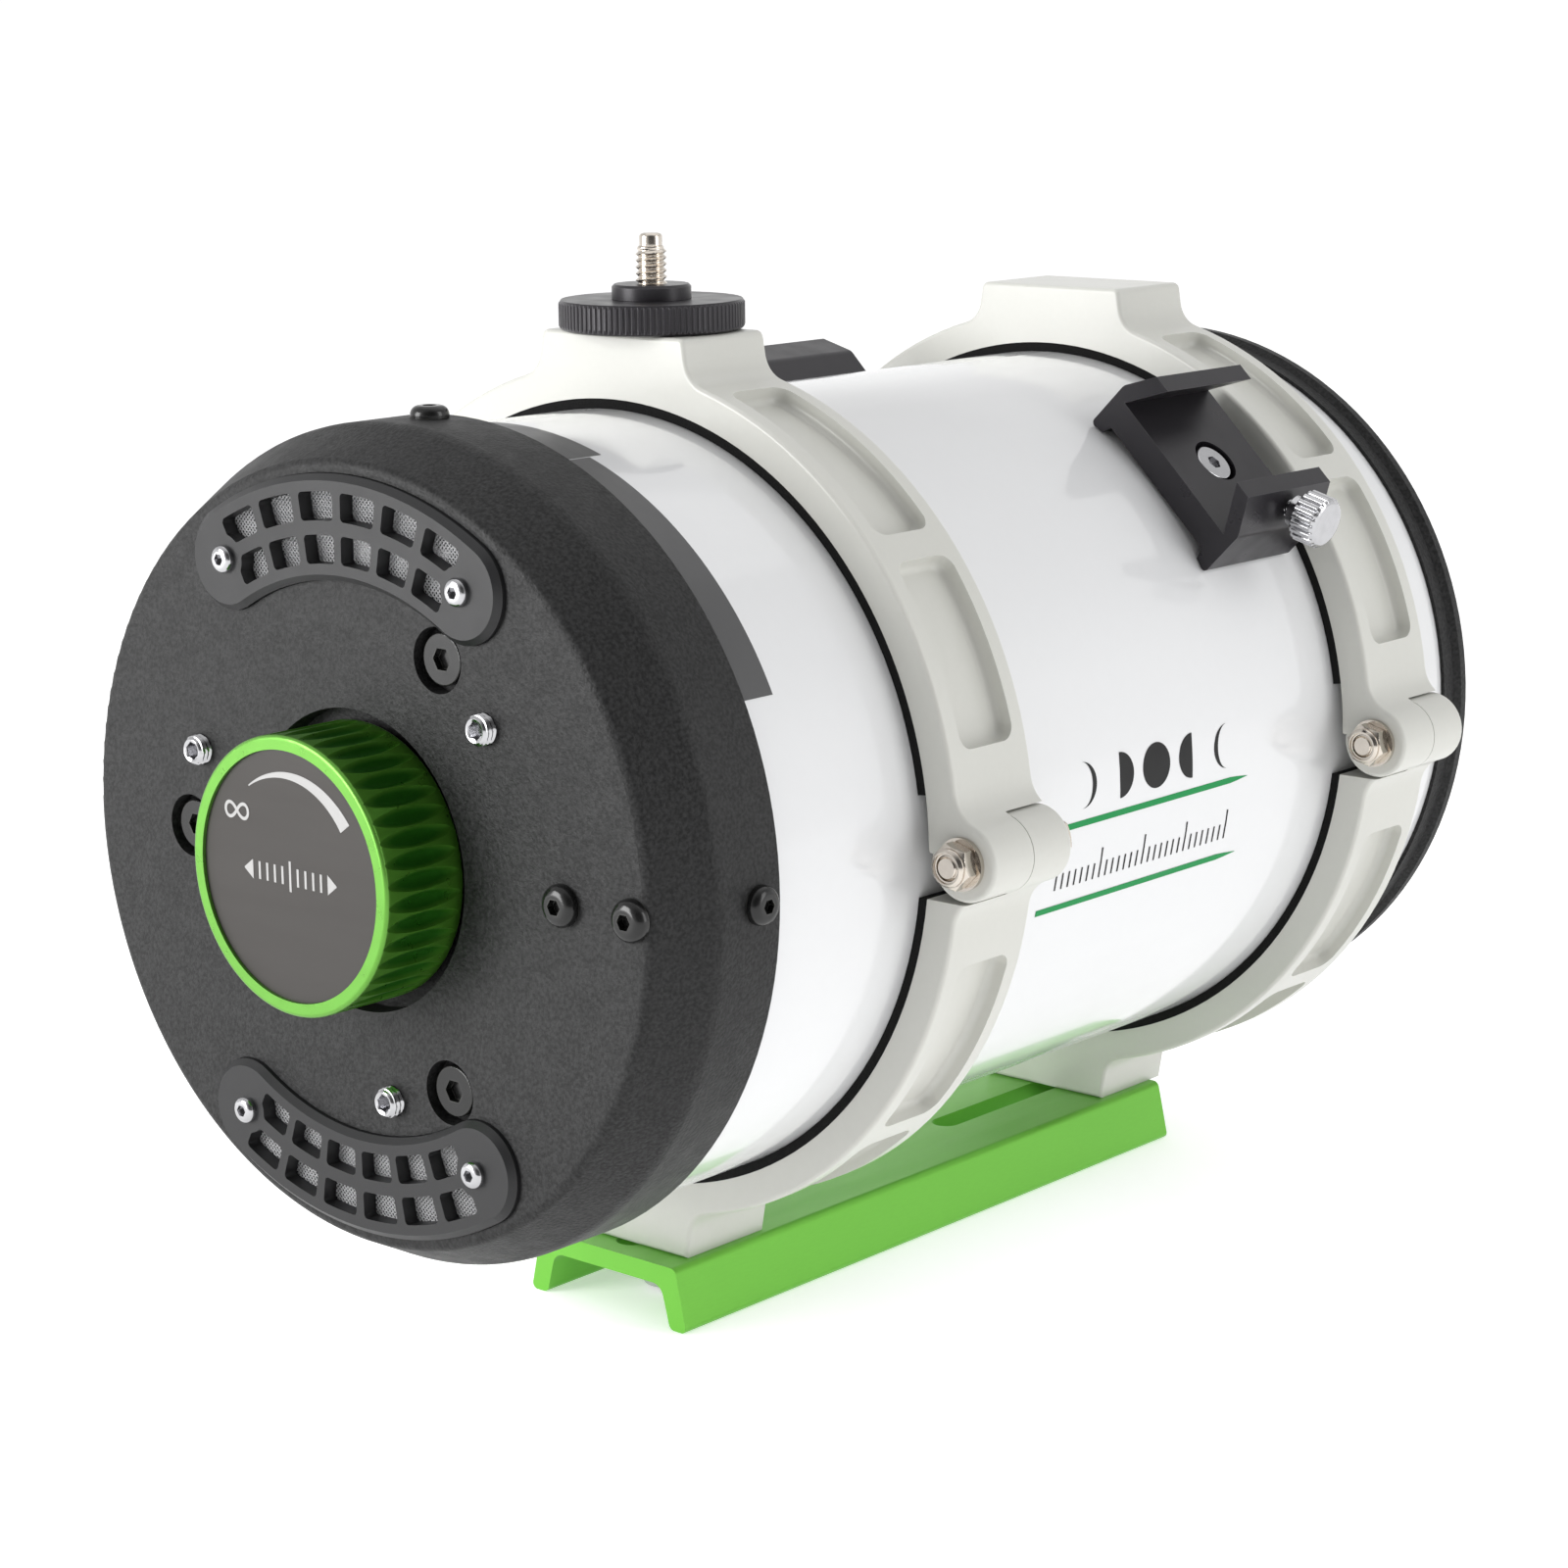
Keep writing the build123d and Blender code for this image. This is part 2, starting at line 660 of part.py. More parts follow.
with BuildPart() as corrector_lens:
    with BuildSketch(AXIAL):
        with BuildLine():
            front = ThreePointArc(
                (lens_front(LENS_HOLE_R), LENS_HOLE_R), (lens_front(lens_mid_r), lens_mid_r),
                (lens_front_y, LENS_R))
            back = ThreePointArc(
                (lens_rear(LENS_HOLE_R), LENS_HOLE_R), (lens_rear(lens_mid_r), lens_mid_r),
                (LENS_REAR_Y, LENS_REAR_R))
            Line(front @ 0, back @ 0)
            Polyline(front @ 1, (LENS_REAR_Y, LENS_R), back @ 1)
        make_face()
    revolve(axis=OPTICAL_AXIS)
save(corrector_lens, "corrector_lens")

with BuildPart() as lens_retainer:
    add(turned([
        (lens_front_y + 0.2, APERTURE_R + 0.5),
        (lens_front_y + 0.2, LENS_R + 0.3),
        (lens_front_y + 2.6, LENS_R + 0.3),
        (lens_front_y + 2.6, APERTURE_R + 1.5),
    ]))
    with BuildSketch(section(lens_front_y + 3)):
        with PolarLocations(LENS_R - 1, 4):
            Rectangle(5, 2.2)
    extrude(amount=1.8, mode=Mode.SUBTRACT)
save(lens_retainer, "lens_retainer")

# ---- camera port: housing through the corrector, and its field lenses ----------------
flange_r = 35.0
flange_back_y = lens_front(flange_r) + 0.2
flange_front_y = flange_back_y + 3.2
clamp_front_y = lens_rear(LENS_HOLE_R) - 0.1
housing_back_y = clamp_front_y - 8
FIELD_R = 21.5

with BuildPart() as port_housing:
    add(turned([
        (housing_back_y, FIELD_R + SEAT),
        (housing_back_y, LENS_HOLE_R - 0.3),
        (flange_back_y, LENS_HOLE_R - 0.3),
        (flange_back_y, flange_r),
        (flange_front_y, flange_r),
        (flange_front_y, PORT_NECK_R),
        (PORT_FACE_Y, PORT_NECK_R),
        (PORT_FACE_Y, PORT_THREAD_R),
        (PORT_FACE_Y - 7, PORT_THREAD_R),
        (PORT_FACE_Y - 7, FIELD_R - 1.5),
        (PORT_FACE_Y - 9, FIELD_R - 1.5),
        (PORT_FACE_Y - 9, FIELD_R + SEAT),
    ]))
save(port_housing, "port_housing")

with BuildPart() as port_clamp_ring:
    add(turned([
        (clamp_front_y - 4, LENS_HOLE_R - 0.25),
        (clamp_front_y - 4, flange_r - 1),
        (clamp_front_y, flange_r - 1),
        (clamp_front_y, LENS_HOLE_R - 0.25),
    ]))
save(port_clamp_ring, "port_clamp_ring")


def field_lens(rear_y, edge, bulge):
    """Disc lens with one flat and one domed face."""
    with BuildPart() as lens:
        with BuildSketch(AXIAL):
            with BuildLine():
                dome = ThreePointArc(
                    (rear_y - bulge, 0),
                    (rear_y - bulge * 0.75, FIELD_R / 2),
                    (rear_y, FIELD_R),
                )
                Polyline(dome @ 1, (rear_y + edge, FIELD_R), (rear_y + edge, 0), dome @ 0)
            make_face()
        revolve(axis=OPTICAL_AXIS)
    return lens


spacer_y = housing_back_y + 9
save(field_lens(housing_back_y + 4, 5, 2.5), "field_lens_rear")
save(field_lens(PORT_FACE_Y - 14, 5, 2.0), "field_lens_front")

with BuildPart() as field_lens_spacer:
    add(turned([
        (spacer_y, FIELD_R - 1.5),
        (spacer_y, FIELD_R),
        (PORT_FACE_Y - 14.4, FIELD_R),
        (PORT_FACE_Y - 14.4, FIELD_R - 1.5),
    ]))
save(field_lens_spacer, "field_lens_spacer")

# ---- ring halves ---------------------------------------------------------------------
HINGE = (HINGE_X, HINGE_Z)
BIG = 130.0               # reach of the cutting regions


def pocket(y_middle, angle_from, angle_to):
    """Cutter for one hollow in a ring's outer face, with rounded corners."""
    with BuildPart() as cutter:
        with BuildSketch(AXIAL):
            with Locations((y_middle, RING_OUTER_R + 5 - POCKET_DEPTH)):
                Rectangle(POCKET_WIDTH, 10)
        revolve(axis=OPTICAL_AXIS, revolution_arc=angle_to - angle_from)
        floor_r = RING_OUTER_R - POCKET_DEPTH
        straight = cutter.edges().filter_by(GeomType.LINE).filter_by(
            lambda e: abs(e.length - 10) < 0.01)
        fillet(straight, POCKET_CORNER)
        floor = cutter.faces().filter_by(GeomType.CYLINDER).filter_by(
            lambda f: abs(f.radius - floor_r) < 0.01)
        fillet(floor.edges(), 1.6)
    return cutter.part.rotate(OPTICAL_AXIS, 90 - angle_to)


def knuckle_clearance(y_front, length):
    """Cylinder about the hinge that leaves room for the other half's knuckle."""
    with BuildPart() as cutter:
        with BuildSketch(section(y_front)):
            with Locations(HINGE):
                Circle(KNUCKLE_R + KNUCKLE_GAP)
        extrude(amount=length)
    return cutter.part


def fill_corners(sketch, places, radius):
    """Round the sketch corners nearest to the given places."""
    corners = [sketch.vertices().sort_by_distance(place)[0] for place in places]
    fillet(corners, radius)


def upper_outline():
    """Outline of a ring's upper half, seen from the rear."""
    with BuildSketch() as outline:
        Circle(RING_OUTER_R)
        with Locations((0, -BIG / 2)):
            Rectangle(BIG * 2, BIG, mode=Mode.SUBTRACT)
        with BuildLine():
            Polyline(
                (-BOSS_HALF, BOSS_TOP), (BOSS_HALF, BOSS_TOP), (BOSS_HALF + 2, RING_INNER_R),
                (-BOSS_HALF - 2, RING_INNER_R), close=True)
        make_face()
        fill_corners(outline, [(-BOSS_HALF - 1, 84.5), (BOSS_HALF + 1, 84.5)], 6)
        fill_corners(outline, [(-BOSS_HALF, BOSS_TOP), (BOSS_HALF, BOSS_TOP)], 1.6)
        with Locations(HINGE):
            Circle(KNUCKLE_R)
        fill_corners(outline, [(86.4, 7.5)], 7)
        with BuildLine():
            Polyline(
                (EAR_TIP_X, SPLIT_GAP), (EAR_TIP_X, SPLIT_GAP + EAR_HEIGHT),
                (-RING_INNER_R, SPLIT_GAP + EAR_HEIGHT), (-RING_INNER_R, SPLIT_GAP), close=True)
        make_face()
        fill_corners(outline, [(-86.2, SPLIT_GAP + EAR_HEIGHT)], 1.5)
        fill_corners(outline, [(EAR_TIP_X, SPLIT_GAP), (EAR_TIP_X, SPLIT_GAP + EAR_HEIGHT)], 2)
        Circle(RING_INNER_R, mode=Mode.SUBTRACT)
        with Locations((-BIG / 2, SPLIT_GAP - BIG / 2)):
            Rectangle(BIG, BIG, mode=Mode.SUBTRACT)
    return outline.sketch


def lower_outline():
    """Outline of a ring's lower half, seen from the rear."""
    with BuildSketch() as outline:
        Circle(RING_OUTER_R)
        with Locations((0, BIG / 2)):
            Rectangle(BIG * 2, BIG, mode=Mode.SUBTRACT)
        with BuildLine():
            Polyline(
                (-FOOT_HALF, FOOT_BOTTOM), (FOOT_HALF, FOOT_BOTTOM),
                (FOOT_HALF + 2.6, -RING_INNER_R), (-FOOT_HALF - 2.6, -RING_INNER_R), close=True)
        make_face()
        fill_corners(outline, [(-FOOT_HALF - 2, -84.8), (FOOT_HALF + 2, -84.8)], 6)
        with Locations(HINGE):
            Circle(KNUCKLE_R)
        fill_corners(outline, [(86.6, -8.3)], 7)
        with BuildLine():
            Polyline(
                (EAR_TIP_X, -SPLIT_GAP), (EAR_TIP_X, -SPLIT_GAP - EAR_HEIGHT),
                (-RING_INNER_R, -SPLIT_GAP - EAR_HEIGHT), (-RING_INNER_R, -SPLIT_GAP), close=True)
        make_face()
        fill_corners(outline, [(-86.2, -SPLIT_GAP - EAR_HEIGHT)], 4)
        fill_corners(outline, [(EAR_TIP_X, -SPLIT_GAP), (EAR_TIP_X, -SPLIT_GAP - EAR_HEIGHT)], 2)
        Circle(RING_INNER_R, mode=Mode.SUBTRACT)
        with Locations((-BIG / 2, BIG / 2 - SPLIT_GAP)):
            Rectangle(BIG, BIG, mode=Mode.SUBTRACT)
    return outline.sketch


def round_rims(ring, radius):
    """Round the outer edges of the two flat sides of a ring half."""
    sides = ring.faces().filter_by(Axis.Y)
    for side in (sides.sort_by(Axis.Y)[0], sides.sort_by(Axis.Y)[-1]):
        outside = side.edges().filter_by(
            lambda e: abs(e.radius - RING_INNER_R) > 0.01 if e.geom_type == GeomType.CIRCLE else True)
        fillet(outside, radius)


def upper_half(y_middle, has_stud):
    """Upper half of a ring, with its boss, rear knuckle and clamp ear."""
    front_y = y_middle + RING_WIDTH / 2
    with BuildPart() as half:
        with BuildSketch(section(front_y)):
            add(upper_outline())
        extrude(amount=RING_WIDTH)
        round_rims(half, RIM_ROUND)
        for start, stop in UPPER_POCKETS:
            add(pocket(y_middle, start, stop), mode=Mode.SUBTRACT)
        add(knuckle_clearance(front_y + 1, RING_WIDTH / 2 + 1.1), mode=Mode.SUBTRACT)
        with BuildSketch(section(front_y)):
            with Locations(HINGE):
                Circle(M5_R + RUNNING)
        extrude(amount=RING_WIDTH, mode=Mode.SUBTRACT)
        with BuildSketch(Plane.XY.offset(AXIS_Z)):
            with Locations((CLAMP_X, y_middle)):
                Circle(M6_R + RUNNING)
        extrude(amount=20, mode=Mode.SUBTRACT)
        if has_stud:
            with BuildSketch(Plane.XY.offset(AXIS_Z + STUD_BOTTOM)):
                with Locations((0, y_middle)):
                    Circle(STUD_ROOT_R + SEAT)
            extrude(amount=BOSS_TOP, mode=Mode.SUBTRACT)
    return half


def lower_half(y_middle):
    """Lower half of a ring, with its foot, front knuckle and clamp ear."""
    front_y = y_middle + RING_WIDTH / 2
    with BuildPart() as half:
        with BuildSketch(section(front_y)):
            add(lower_outline())
        extrude(amount=RING_WIDTH)
        round_rims(half, RIM_ROUND)
        for start, stop in LOWER_POCKETS:
            add(pocket(y_middle, start, stop), mode=Mode.SUBTRACT)
        add(knuckle_clearance(y_middle + 0.1, RING_WIDTH / 2 + 1.1), mode=Mode.SUBTRACT)
        with BuildSketch(section(y_middle)):
            with Locations((RING_OUTER_R, SHELF_Z + 10)):
                Rectangle(2 * (RING_OUTER_R - RING_INNER_R) + 4, 20)
        extrude(amount=RING_WIDTH / 2 + 1, mode=Mode.SUBTRACT)
        with BuildSketch(section(front_y)):
            with Locations(HINGE):
                Circle(M5_R + SEAT)
        extrude(amount=RING_WIDTH, mode=Mode.SUBTRACT)
        with BuildSketch(Plane.XY.offset(AXIS_Z)):
            with Locations((CLAMP_X, y_middle)):
                Circle(CLAMP_HOLE_R)
        extrude(amount=-20, mode=Mode.SUBTRACT)
        with BuildSketch(Plane.XY.offset(AXIS_Z + FOOT_BOTTOM)):
            with Locations((0, y_middle)):
                Circle(M6_R + SEAT)
        extrude(amount=9, mode=Mode.SUBTRACT)
    return half


def liner(y_middle, angle_from, angle_to):
    """Felt strip inside a ring half."""
    liner_r = TUBE_R + LINER_GAP
    with BuildPart() as strip:
        with BuildSketch(AXIAL):
            with BuildLine():
                Polyline(
                    (y_middle - RING_WIDTH / 2, liner_r), (y_middle - RING_WIDTH / 2, RING_INNER_R),
                    (y_middle + RING_WIDTH / 2, RING_INNER_R), (y_middle + RING_WIDTH / 2, liner_r),
                    close=True)
            make_face()
        revolve(axis=OPTICAL_AXIS, revolution_arc=angle_to - angle_from)
        strip.part = strip.part.rotate(OPTICAL_AXIS, 90 - angle_to)
    return strip


for place, y_middle in zip(("rear", "front"), RING_Y):
    save(upper_half(y_middle, place == "rear"), f"{place}_ring_upper")
    save(lower_half(y_middle), f"{place}_ring_lower")
    save(liner(y_middle, 8, 178), f"{place}_felt_upper")
    save(liner(y_middle, -178.5, -6.5), f"{place}_felt_lower")

# ---- hinge bolts, nuts and washers ---------------------------------------------------
NUT_COLLAR = 1.0
BOLT_RECESS = 0.2         # bolt's end inside the nut

with BuildPart() as hinge_bolts:
    for y_middle in RING_Y:
        head_y = y_middle + RING_WIDTH / 2 + HINGE_WASHER
        with BuildSketch(section(head_y + HINGE_HEAD)):
            with Locations(HINGE):
                RegularPolygon(HINGE_NUT_R, 6)
        extrude(amount=HINGE_HEAD)
        with BuildSketch(section(head_y)):
            with Locations(HINGE):
                Circle(M5_R)
        extrude(amount=RING_WIDTH + 2 * HINGE_WASHER + HINGE_NUT - BOLT_RECESS)
save(hinge_bolts, "hinge_bolts")

with BuildPart() as hinge_nuts:
    for y_middle in RING_Y:
        nut_y = y_middle - RING_WIDTH / 2 - HINGE_WASHER
        with BuildSketch(section(nut_y)):
            with Locations(HINGE):
                RegularPolygon(HINGE_NUT_R, 6)
                Circle(M5_R + SEAT, mode=Mode.SUBTRACT)
        extrude(amount=HINGE_NUT - NUT_COLLAR)
        with BuildSketch(section(nut_y - HINGE_NUT + NUT_COLLAR)):
            with Locations(HINGE):
                Circle(3.7)
                Circle(M5_R + SEAT, mode=Mode.SUBTRACT)
        extrude(amount=NUT_COLLAR)
save(hinge_nuts, "hinge_nuts")

with BuildPart() as hinge_washers:
    for y_middle in RING_Y:
        for y in (y_middle - RING_WIDTH / 2, y_middle + RING_WIDTH / 2 + HINGE_WASHER):
            with BuildSketch(section(y)):
                with Locations(HINGE):
                    Circle(HINGE_WASHER_R)
                    Circle(M5_R + SEAT, mode=Mode.SUBTRACT)
            extrude(amount=HINGE_WASHER)
save(hinge_washers, "hinge_washers")


# ---- ring clamp screws ---------------------------------------------------------------
def clamp_screw(y_middle):
    """Knurled thumbscrew that closes a ring at its ears."""
    knob_z = AXIS_Z + SPLIT_GAP + EAR_HEIGHT + 0.2
    with BuildPart() as body:
        with BuildSketch(Plane.XY.offset(knob_z)):
            with Locations((CLAMP_X, y_middle)):
                Circle(CLAMP_KNOB_R)
                with PolarLocations(CLAMP_KNOB_R + 0.2, 30):
                    Circle(0.6, mode=Mode.SUBTRACT)
        extrude(amount=CLAMP_KNOB)
        with BuildSketch(Plane.XY.offset(knob_z)):
            with Locations((CLAMP_X, y_middle)):
                Circle(M6_R)
        extrude(amount=-2 * (SPLIT_GAP + EAR_HEIGHT) - 0.5)
    return body


for place, y_middle in zip(("rear", "front"), RING_Y):
    save(clamp_screw(y_middle), f"{place}_clamp_screw")

# ---- dovetail bar, bolts and washers -------------------------------------------------
with BuildPart() as dovetail_bar:
    with BuildSketch(Plane.XZ.offset(-BAR_LENGTH / 2)) as profile:
        with BuildLine():
            Polyline(
                (-BAR_BOTTOM_HALF, 0), (-BAR_TOP_HALF, BAR_HEIGHT), (BAR_TOP_HALF, BAR_HEIGHT),
                (BAR_BOTTOM_HALF, 0), (BAR_CHANNEL_HALF, 0),
                (BAR_CHANNEL_HALF - 2.4, BAR_HEIGHT - BAR_WEB),
                (-BAR_CHANNEL_HALF + 2.4, BAR_HEIGHT - BAR_WEB), (-BAR_CHANNEL_HALF, 0),
                close=True)
        make_face()
        fill_corners(profile, [(15, BAR_HEIGHT - BAR_WEB), (-15, BAR_HEIGHT - BAR_WEB)], 3)
        fill_corners(profile, [(BAR_CHANNEL_HALF, 0), (-BAR_CHANNEL_HALF, 0)], 1.5)
        fill_corners(profile, [(BAR_BOTTOM_HALF, 0), (-BAR_BOTTOM_HALF, 0)], 1.2)
    extrude(amount=BAR_LENGTH)
    long_top = dovetail_bar.edges().filter_by(Axis.Y).group_by(Axis.Z)[-1]
    fillet(long_top, 1.6)
    with BuildSketch(Plane.XY.offset(BAR_HEIGHT)):
        for side in (-1, 1):
            with Locations((0, side * (BAR_SLOT_START + BAR_SLOT_END) / 2)):
                SlotOverall(BAR_SLOT_END - BAR_SLOT_START, BAR_SLOT_WIDTH, rotation=90)
    extrude(amount=-BAR_WEB - 1, mode=Mode.SUBTRACT)
save(dovetail_bar, "dovetail_bar")

web_bottom = BAR_HEIGHT - BAR_WEB
with BuildPart() as bar_bolts:
    for y in RING_Y:
        under_head = Plane(origin=(0, y, web_bottom - BAR_WASHER_T), x_dir=(1, 0, 0), z_dir=(0, 0, -1))
        add(screw(
            under_head,
            head_r=5.0, head_h=6.0, shank_r=M6_R, length=BAR_WEB + BAR_WASHER_T + 8,
            socket_r=2.9, rounding=0.5))
save(bar_bolts, "bar_bolts")

with BuildPart() as bar_washers:
    for y in RING_Y:
        plane = Plane(origin=(0, y, web_bottom - BAR_WASHER_T), x_dir=(1, 0, 0), z_dir=(0, 0, 1))
        add(washer(plane, inner_r=M6_R + 0.1, outer_r=5.2, thickness=BAR_WASHER_T))
save(bar_washers, "bar_washers")

# ---- camera stud, wheel and lock collar on the rear ring -----------------------------
boss_z = AXIS_Z + BOSS_TOP
stud_y = RING_Y[0]
wheel_z = boss_z + 0.1
collar_z = wheel_z + WHEEL_HEIGHT + 0.05

with BuildPart() as camera_stud:
    with BuildSketch(Plane.XY.offset(AXIS_Z + STUD_BOTTOM)):
        with Locations((0, stud_y)):
            Circle(STUD_ROOT_R)
    extrude(amount=collar_z + COLLAR_HEIGHT - AXIS_Z - STUD_BOTTOM)
    with BuildSketch(Plane.XY.offset(collar_z + COLLAR_HEIGHT)):
        with Locations((0, stud_y)):
            Circle(STUD_R)
    extrude(amount=AXIS_Z + STUD_TOP - collar_z - COLLAR_HEIGHT)
    chamfer(camera_stud.faces().sort_by(Axis.Z)[-1].edges(), 0.6)
save(camera_stud, "camera_stud")

with BuildPart() as camera_wheel:
    with BuildSketch(Plane.XY.offset(wheel_z)):
        with Locations((0, stud_y)):
            Circle(WHEEL_R)
    extrude(amount=WHEEL_HEIGHT)
    chamfer(camera_wheel.edges().sort_by(Axis.Z)[-1], 0.7, 0.5)
    fillet(camera_wheel.edges().sort_by(Axis.Z)[0], 1.2)
    with BuildSketch(Plane.XY.offset(wheel_z - 1)):
        with Locations((0, stud_y)):
            with PolarLocations(WHEEL_R + 0.12, WHEEL_RIBS):
                Circle(0.42)
            Circle(STUD_ROOT_R + RUNNING)
    extrude(amount=WHEEL_HEIGHT + 2, mode=Mode.SUBTRACT)
save(camera_wheel, "camera_wheel")

with BuildPart() as lock_collar:
    with BuildSketch(Plane.XY.offset(collar_z)):
        with Locations((0, stud_y)):
            Circle(COLLAR_R)
            Circle(STUD_ROOT_R + RUNNING, mode=Mode.SUBTRACT)
    extrude(amount=COLLAR_HEIGHT)
    chamfer(lock_collar.faces().sort_by(Axis.Z)[-1].outer_wire().edges(), 0.5)
save(lock_collar, "lock_collar")


# ---- finder shoes, their screws and thumbscrews --------------------------------------
def shoe_plane(angle, y):
    """Plane across the shoe: local x runs round the tube, local y points outwards."""
    out = Vector(cos(radians(angle)), 0, sin(radians(angle)))
    around = out.cross(Vector(0, 1, 0)) * -1
    return Plane(origin=(0, y, AXIS_Z), x_dir=around, z_dir=around.cross(out))


def thumb_plane(angle, rear_y, side):
    """Plane on the shoe's sloping wall where its thumbscrew goes in."""
    wall = shoe_plane(angle, rear_y + THUMB_Y)
    middle = wall.from_local_coords((side * THUMB_X, THUMB_Z, 0))
    normal = (wall.x_dir * (0.871 * side) + wall.y_dir * 0.49).normalized()
    return Plane(origin=middle, x_dir=(0, 1, 0), z_dir=normal)


def finder_shoe(angle, rear_y, side):
    """Extruded dovetail shoe on two feet that stand on the tube."""
    plane = shoe_plane(angle, rear_y)
    towards_front = plane.z_dir.Y
    with BuildPart() as shoe:
        with BuildSketch(plane) as profile:
            with BuildLine():
                Polyline(
                    (-20.8, 75.4), (-20.8, 87.4), (-16.5, SHOE_TOP), (-12.4, SHOE_TOP),
                    (-18, SHOE_FLOOR), (18, SHOE_FLOOR), (12.4, SHOE_TOP), (16.5, SHOE_TOP),
                    (20.8, 87.4), (20.8, 75.4), (17.4, 76.3), (16.6, 78.7),
                    (-16.6, 78.7), (-17.4, 76.3), close=True)
            make_face()
            fill_corners(profile, [(-20.8, 87.4), (20.8, 87.4)], 2.5)
            fill_corners(profile, [(-20.8, 75.4), (20.8, 75.4)], 1.0)
            Circle(TUBE_R + SEAT, mode=Mode.SUBTRACT)
        extrude(amount=SHOE_LENGTH * towards_front)
        thumb = thumb_plane(angle, rear_y, side)
        with BuildSketch(thumb):
            Circle(M4_R + RUNNING)
        extrude(amount=-10, mode=Mode.SUBTRACT)
        middle_y = rear_y + SHOE_LENGTH / 2
        with BuildSketch(radial_plane(SHOE_FLOOR, angle, middle_y)):
            Circle(SHOE_BORE_R)
        extrude(amount=-SHOE_SINK, mode=Mode.SUBTRACT)
        with BuildSketch(radial_plane(SHOE_FLOOR, angle, middle_y)):
            Circle(M5_R + SEAT)
        extrude(amount=-12, mode=Mode.SUBTRACT)
    return shoe


def finder_thumbscrew(angle, rear_y, side):
    """Knurled thumbscrew through the shoe's wall."""
    plane = thumb_plane(angle, rear_y, side)
    with BuildPart() as body:
        with BuildSketch(plane.offset(-5.5)):
            Circle(M4_R)
        extrude(amount=5.5 + 3)
        with BuildSketch(plane.offset(1.0)):
            Circle(3.4)
        extrude(amount=2.2)
        with BuildSketch(plane.offset(3.2)):
            Circle(THUMB_HEAD_R)
            with PolarLocations(THUMB_HEAD_R + 0.15, 24):
                Circle(0.5, mode=Mode.SUBTRACT)
        extrude(amount=THUMB_HEAD)
    return body


for place, angle, rear_y, side in zip(("right", "left"), SHOE_ANGLES, SHOE_REAR_Y, (1, -1)):
    save(finder_shoe(angle, rear_y, side), f"finder_shoe_{place}")
    save(finder_thumbscrew(angle, rear_y, side), f"finder_thumbscrew_{place}")

with BuildPart() as shoe_screws:
    for angle, rear_y in zip(SHOE_ANGLES, SHOE_REAR_Y):
        seat = radial_plane(SHOE_FLOOR - SHOE_SINK, angle, rear_y + SHOE_LENGTH / 2)
        add(screw(
            seat, head_r=4.5, head_h=2.4, shank_r=M5_R, length=3.9, socket_r=1.7, rounding=0.4))
save(shoe_screws, "shoe_screws")
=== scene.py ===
import json
import math

import bpy
from mathutils import Matrix, Vector


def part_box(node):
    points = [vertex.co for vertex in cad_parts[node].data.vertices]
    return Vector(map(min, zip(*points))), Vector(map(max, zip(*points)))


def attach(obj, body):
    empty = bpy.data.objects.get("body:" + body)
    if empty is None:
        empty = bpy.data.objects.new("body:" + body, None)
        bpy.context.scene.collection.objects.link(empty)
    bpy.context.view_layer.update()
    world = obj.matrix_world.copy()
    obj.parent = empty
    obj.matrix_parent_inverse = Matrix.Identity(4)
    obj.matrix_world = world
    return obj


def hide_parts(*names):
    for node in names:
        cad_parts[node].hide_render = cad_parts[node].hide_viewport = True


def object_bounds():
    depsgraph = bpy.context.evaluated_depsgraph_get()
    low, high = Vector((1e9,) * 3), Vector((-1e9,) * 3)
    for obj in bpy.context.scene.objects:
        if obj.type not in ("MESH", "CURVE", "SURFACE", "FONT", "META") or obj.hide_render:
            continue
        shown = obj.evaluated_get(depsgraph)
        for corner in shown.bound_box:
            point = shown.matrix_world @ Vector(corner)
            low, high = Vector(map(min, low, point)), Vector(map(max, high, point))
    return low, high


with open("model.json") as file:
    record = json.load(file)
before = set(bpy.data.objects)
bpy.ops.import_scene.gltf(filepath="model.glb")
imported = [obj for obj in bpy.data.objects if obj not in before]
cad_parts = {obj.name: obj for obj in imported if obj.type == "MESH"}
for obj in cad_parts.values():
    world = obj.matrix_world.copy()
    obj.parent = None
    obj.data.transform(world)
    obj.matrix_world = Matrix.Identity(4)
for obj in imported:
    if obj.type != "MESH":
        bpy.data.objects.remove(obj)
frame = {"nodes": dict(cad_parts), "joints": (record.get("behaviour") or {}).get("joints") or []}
cad_low, cad_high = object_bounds()

# A short telescope tube in hinged rings on a dovetail bar. Lengths are in metres.
# +Y runs along the optical axis from the focus knob to the front window, +Z is up.
MM = 0.001
JOINTS = {joint["name"]: joint for joint in frame["joints"]}
NODES = frame["nodes"]

tube_low, tube_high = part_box("tube_shell")
AXIS_Z = (tube_low.z + tube_high.z) / 2
TUBE_R = (tube_high.x - tube_low.x) / 2


# ---- materials -----------------------------------------------------------------------
def new_material(name, colour, roughness, metallic, sockets):
    """Material with one Principled shader. sockets are set on the shader itself."""
    made = bpy.data.materials.new(name)
    made.use_nodes = True
    tree = made.node_tree
    shader = tree.nodes["Principled BSDF"]
    shader.inputs["Base Color"].default_value = (*colour, 1)
    shader.inputs["Roughness"].default_value = roughness
    shader.inputs["Metallic"].default_value = metallic
    for socket, value in sockets.items():
        shader.inputs[socket].default_value = value
    return made, tree, shader


def places(tree, stretch=(1, 1, 1)):
    """Object coordinates in metres, stretched."""
    source = tree.nodes.new("ShaderNodeTexCoord")
    mapping = tree.nodes.new("ShaderNodeMapping")
    mapping.inputs["Scale"].default_value = stretch
    tree.links.new(source.outputs["Object"], mapping.inputs["Vector"])
    return mapping.outputs["Vector"]


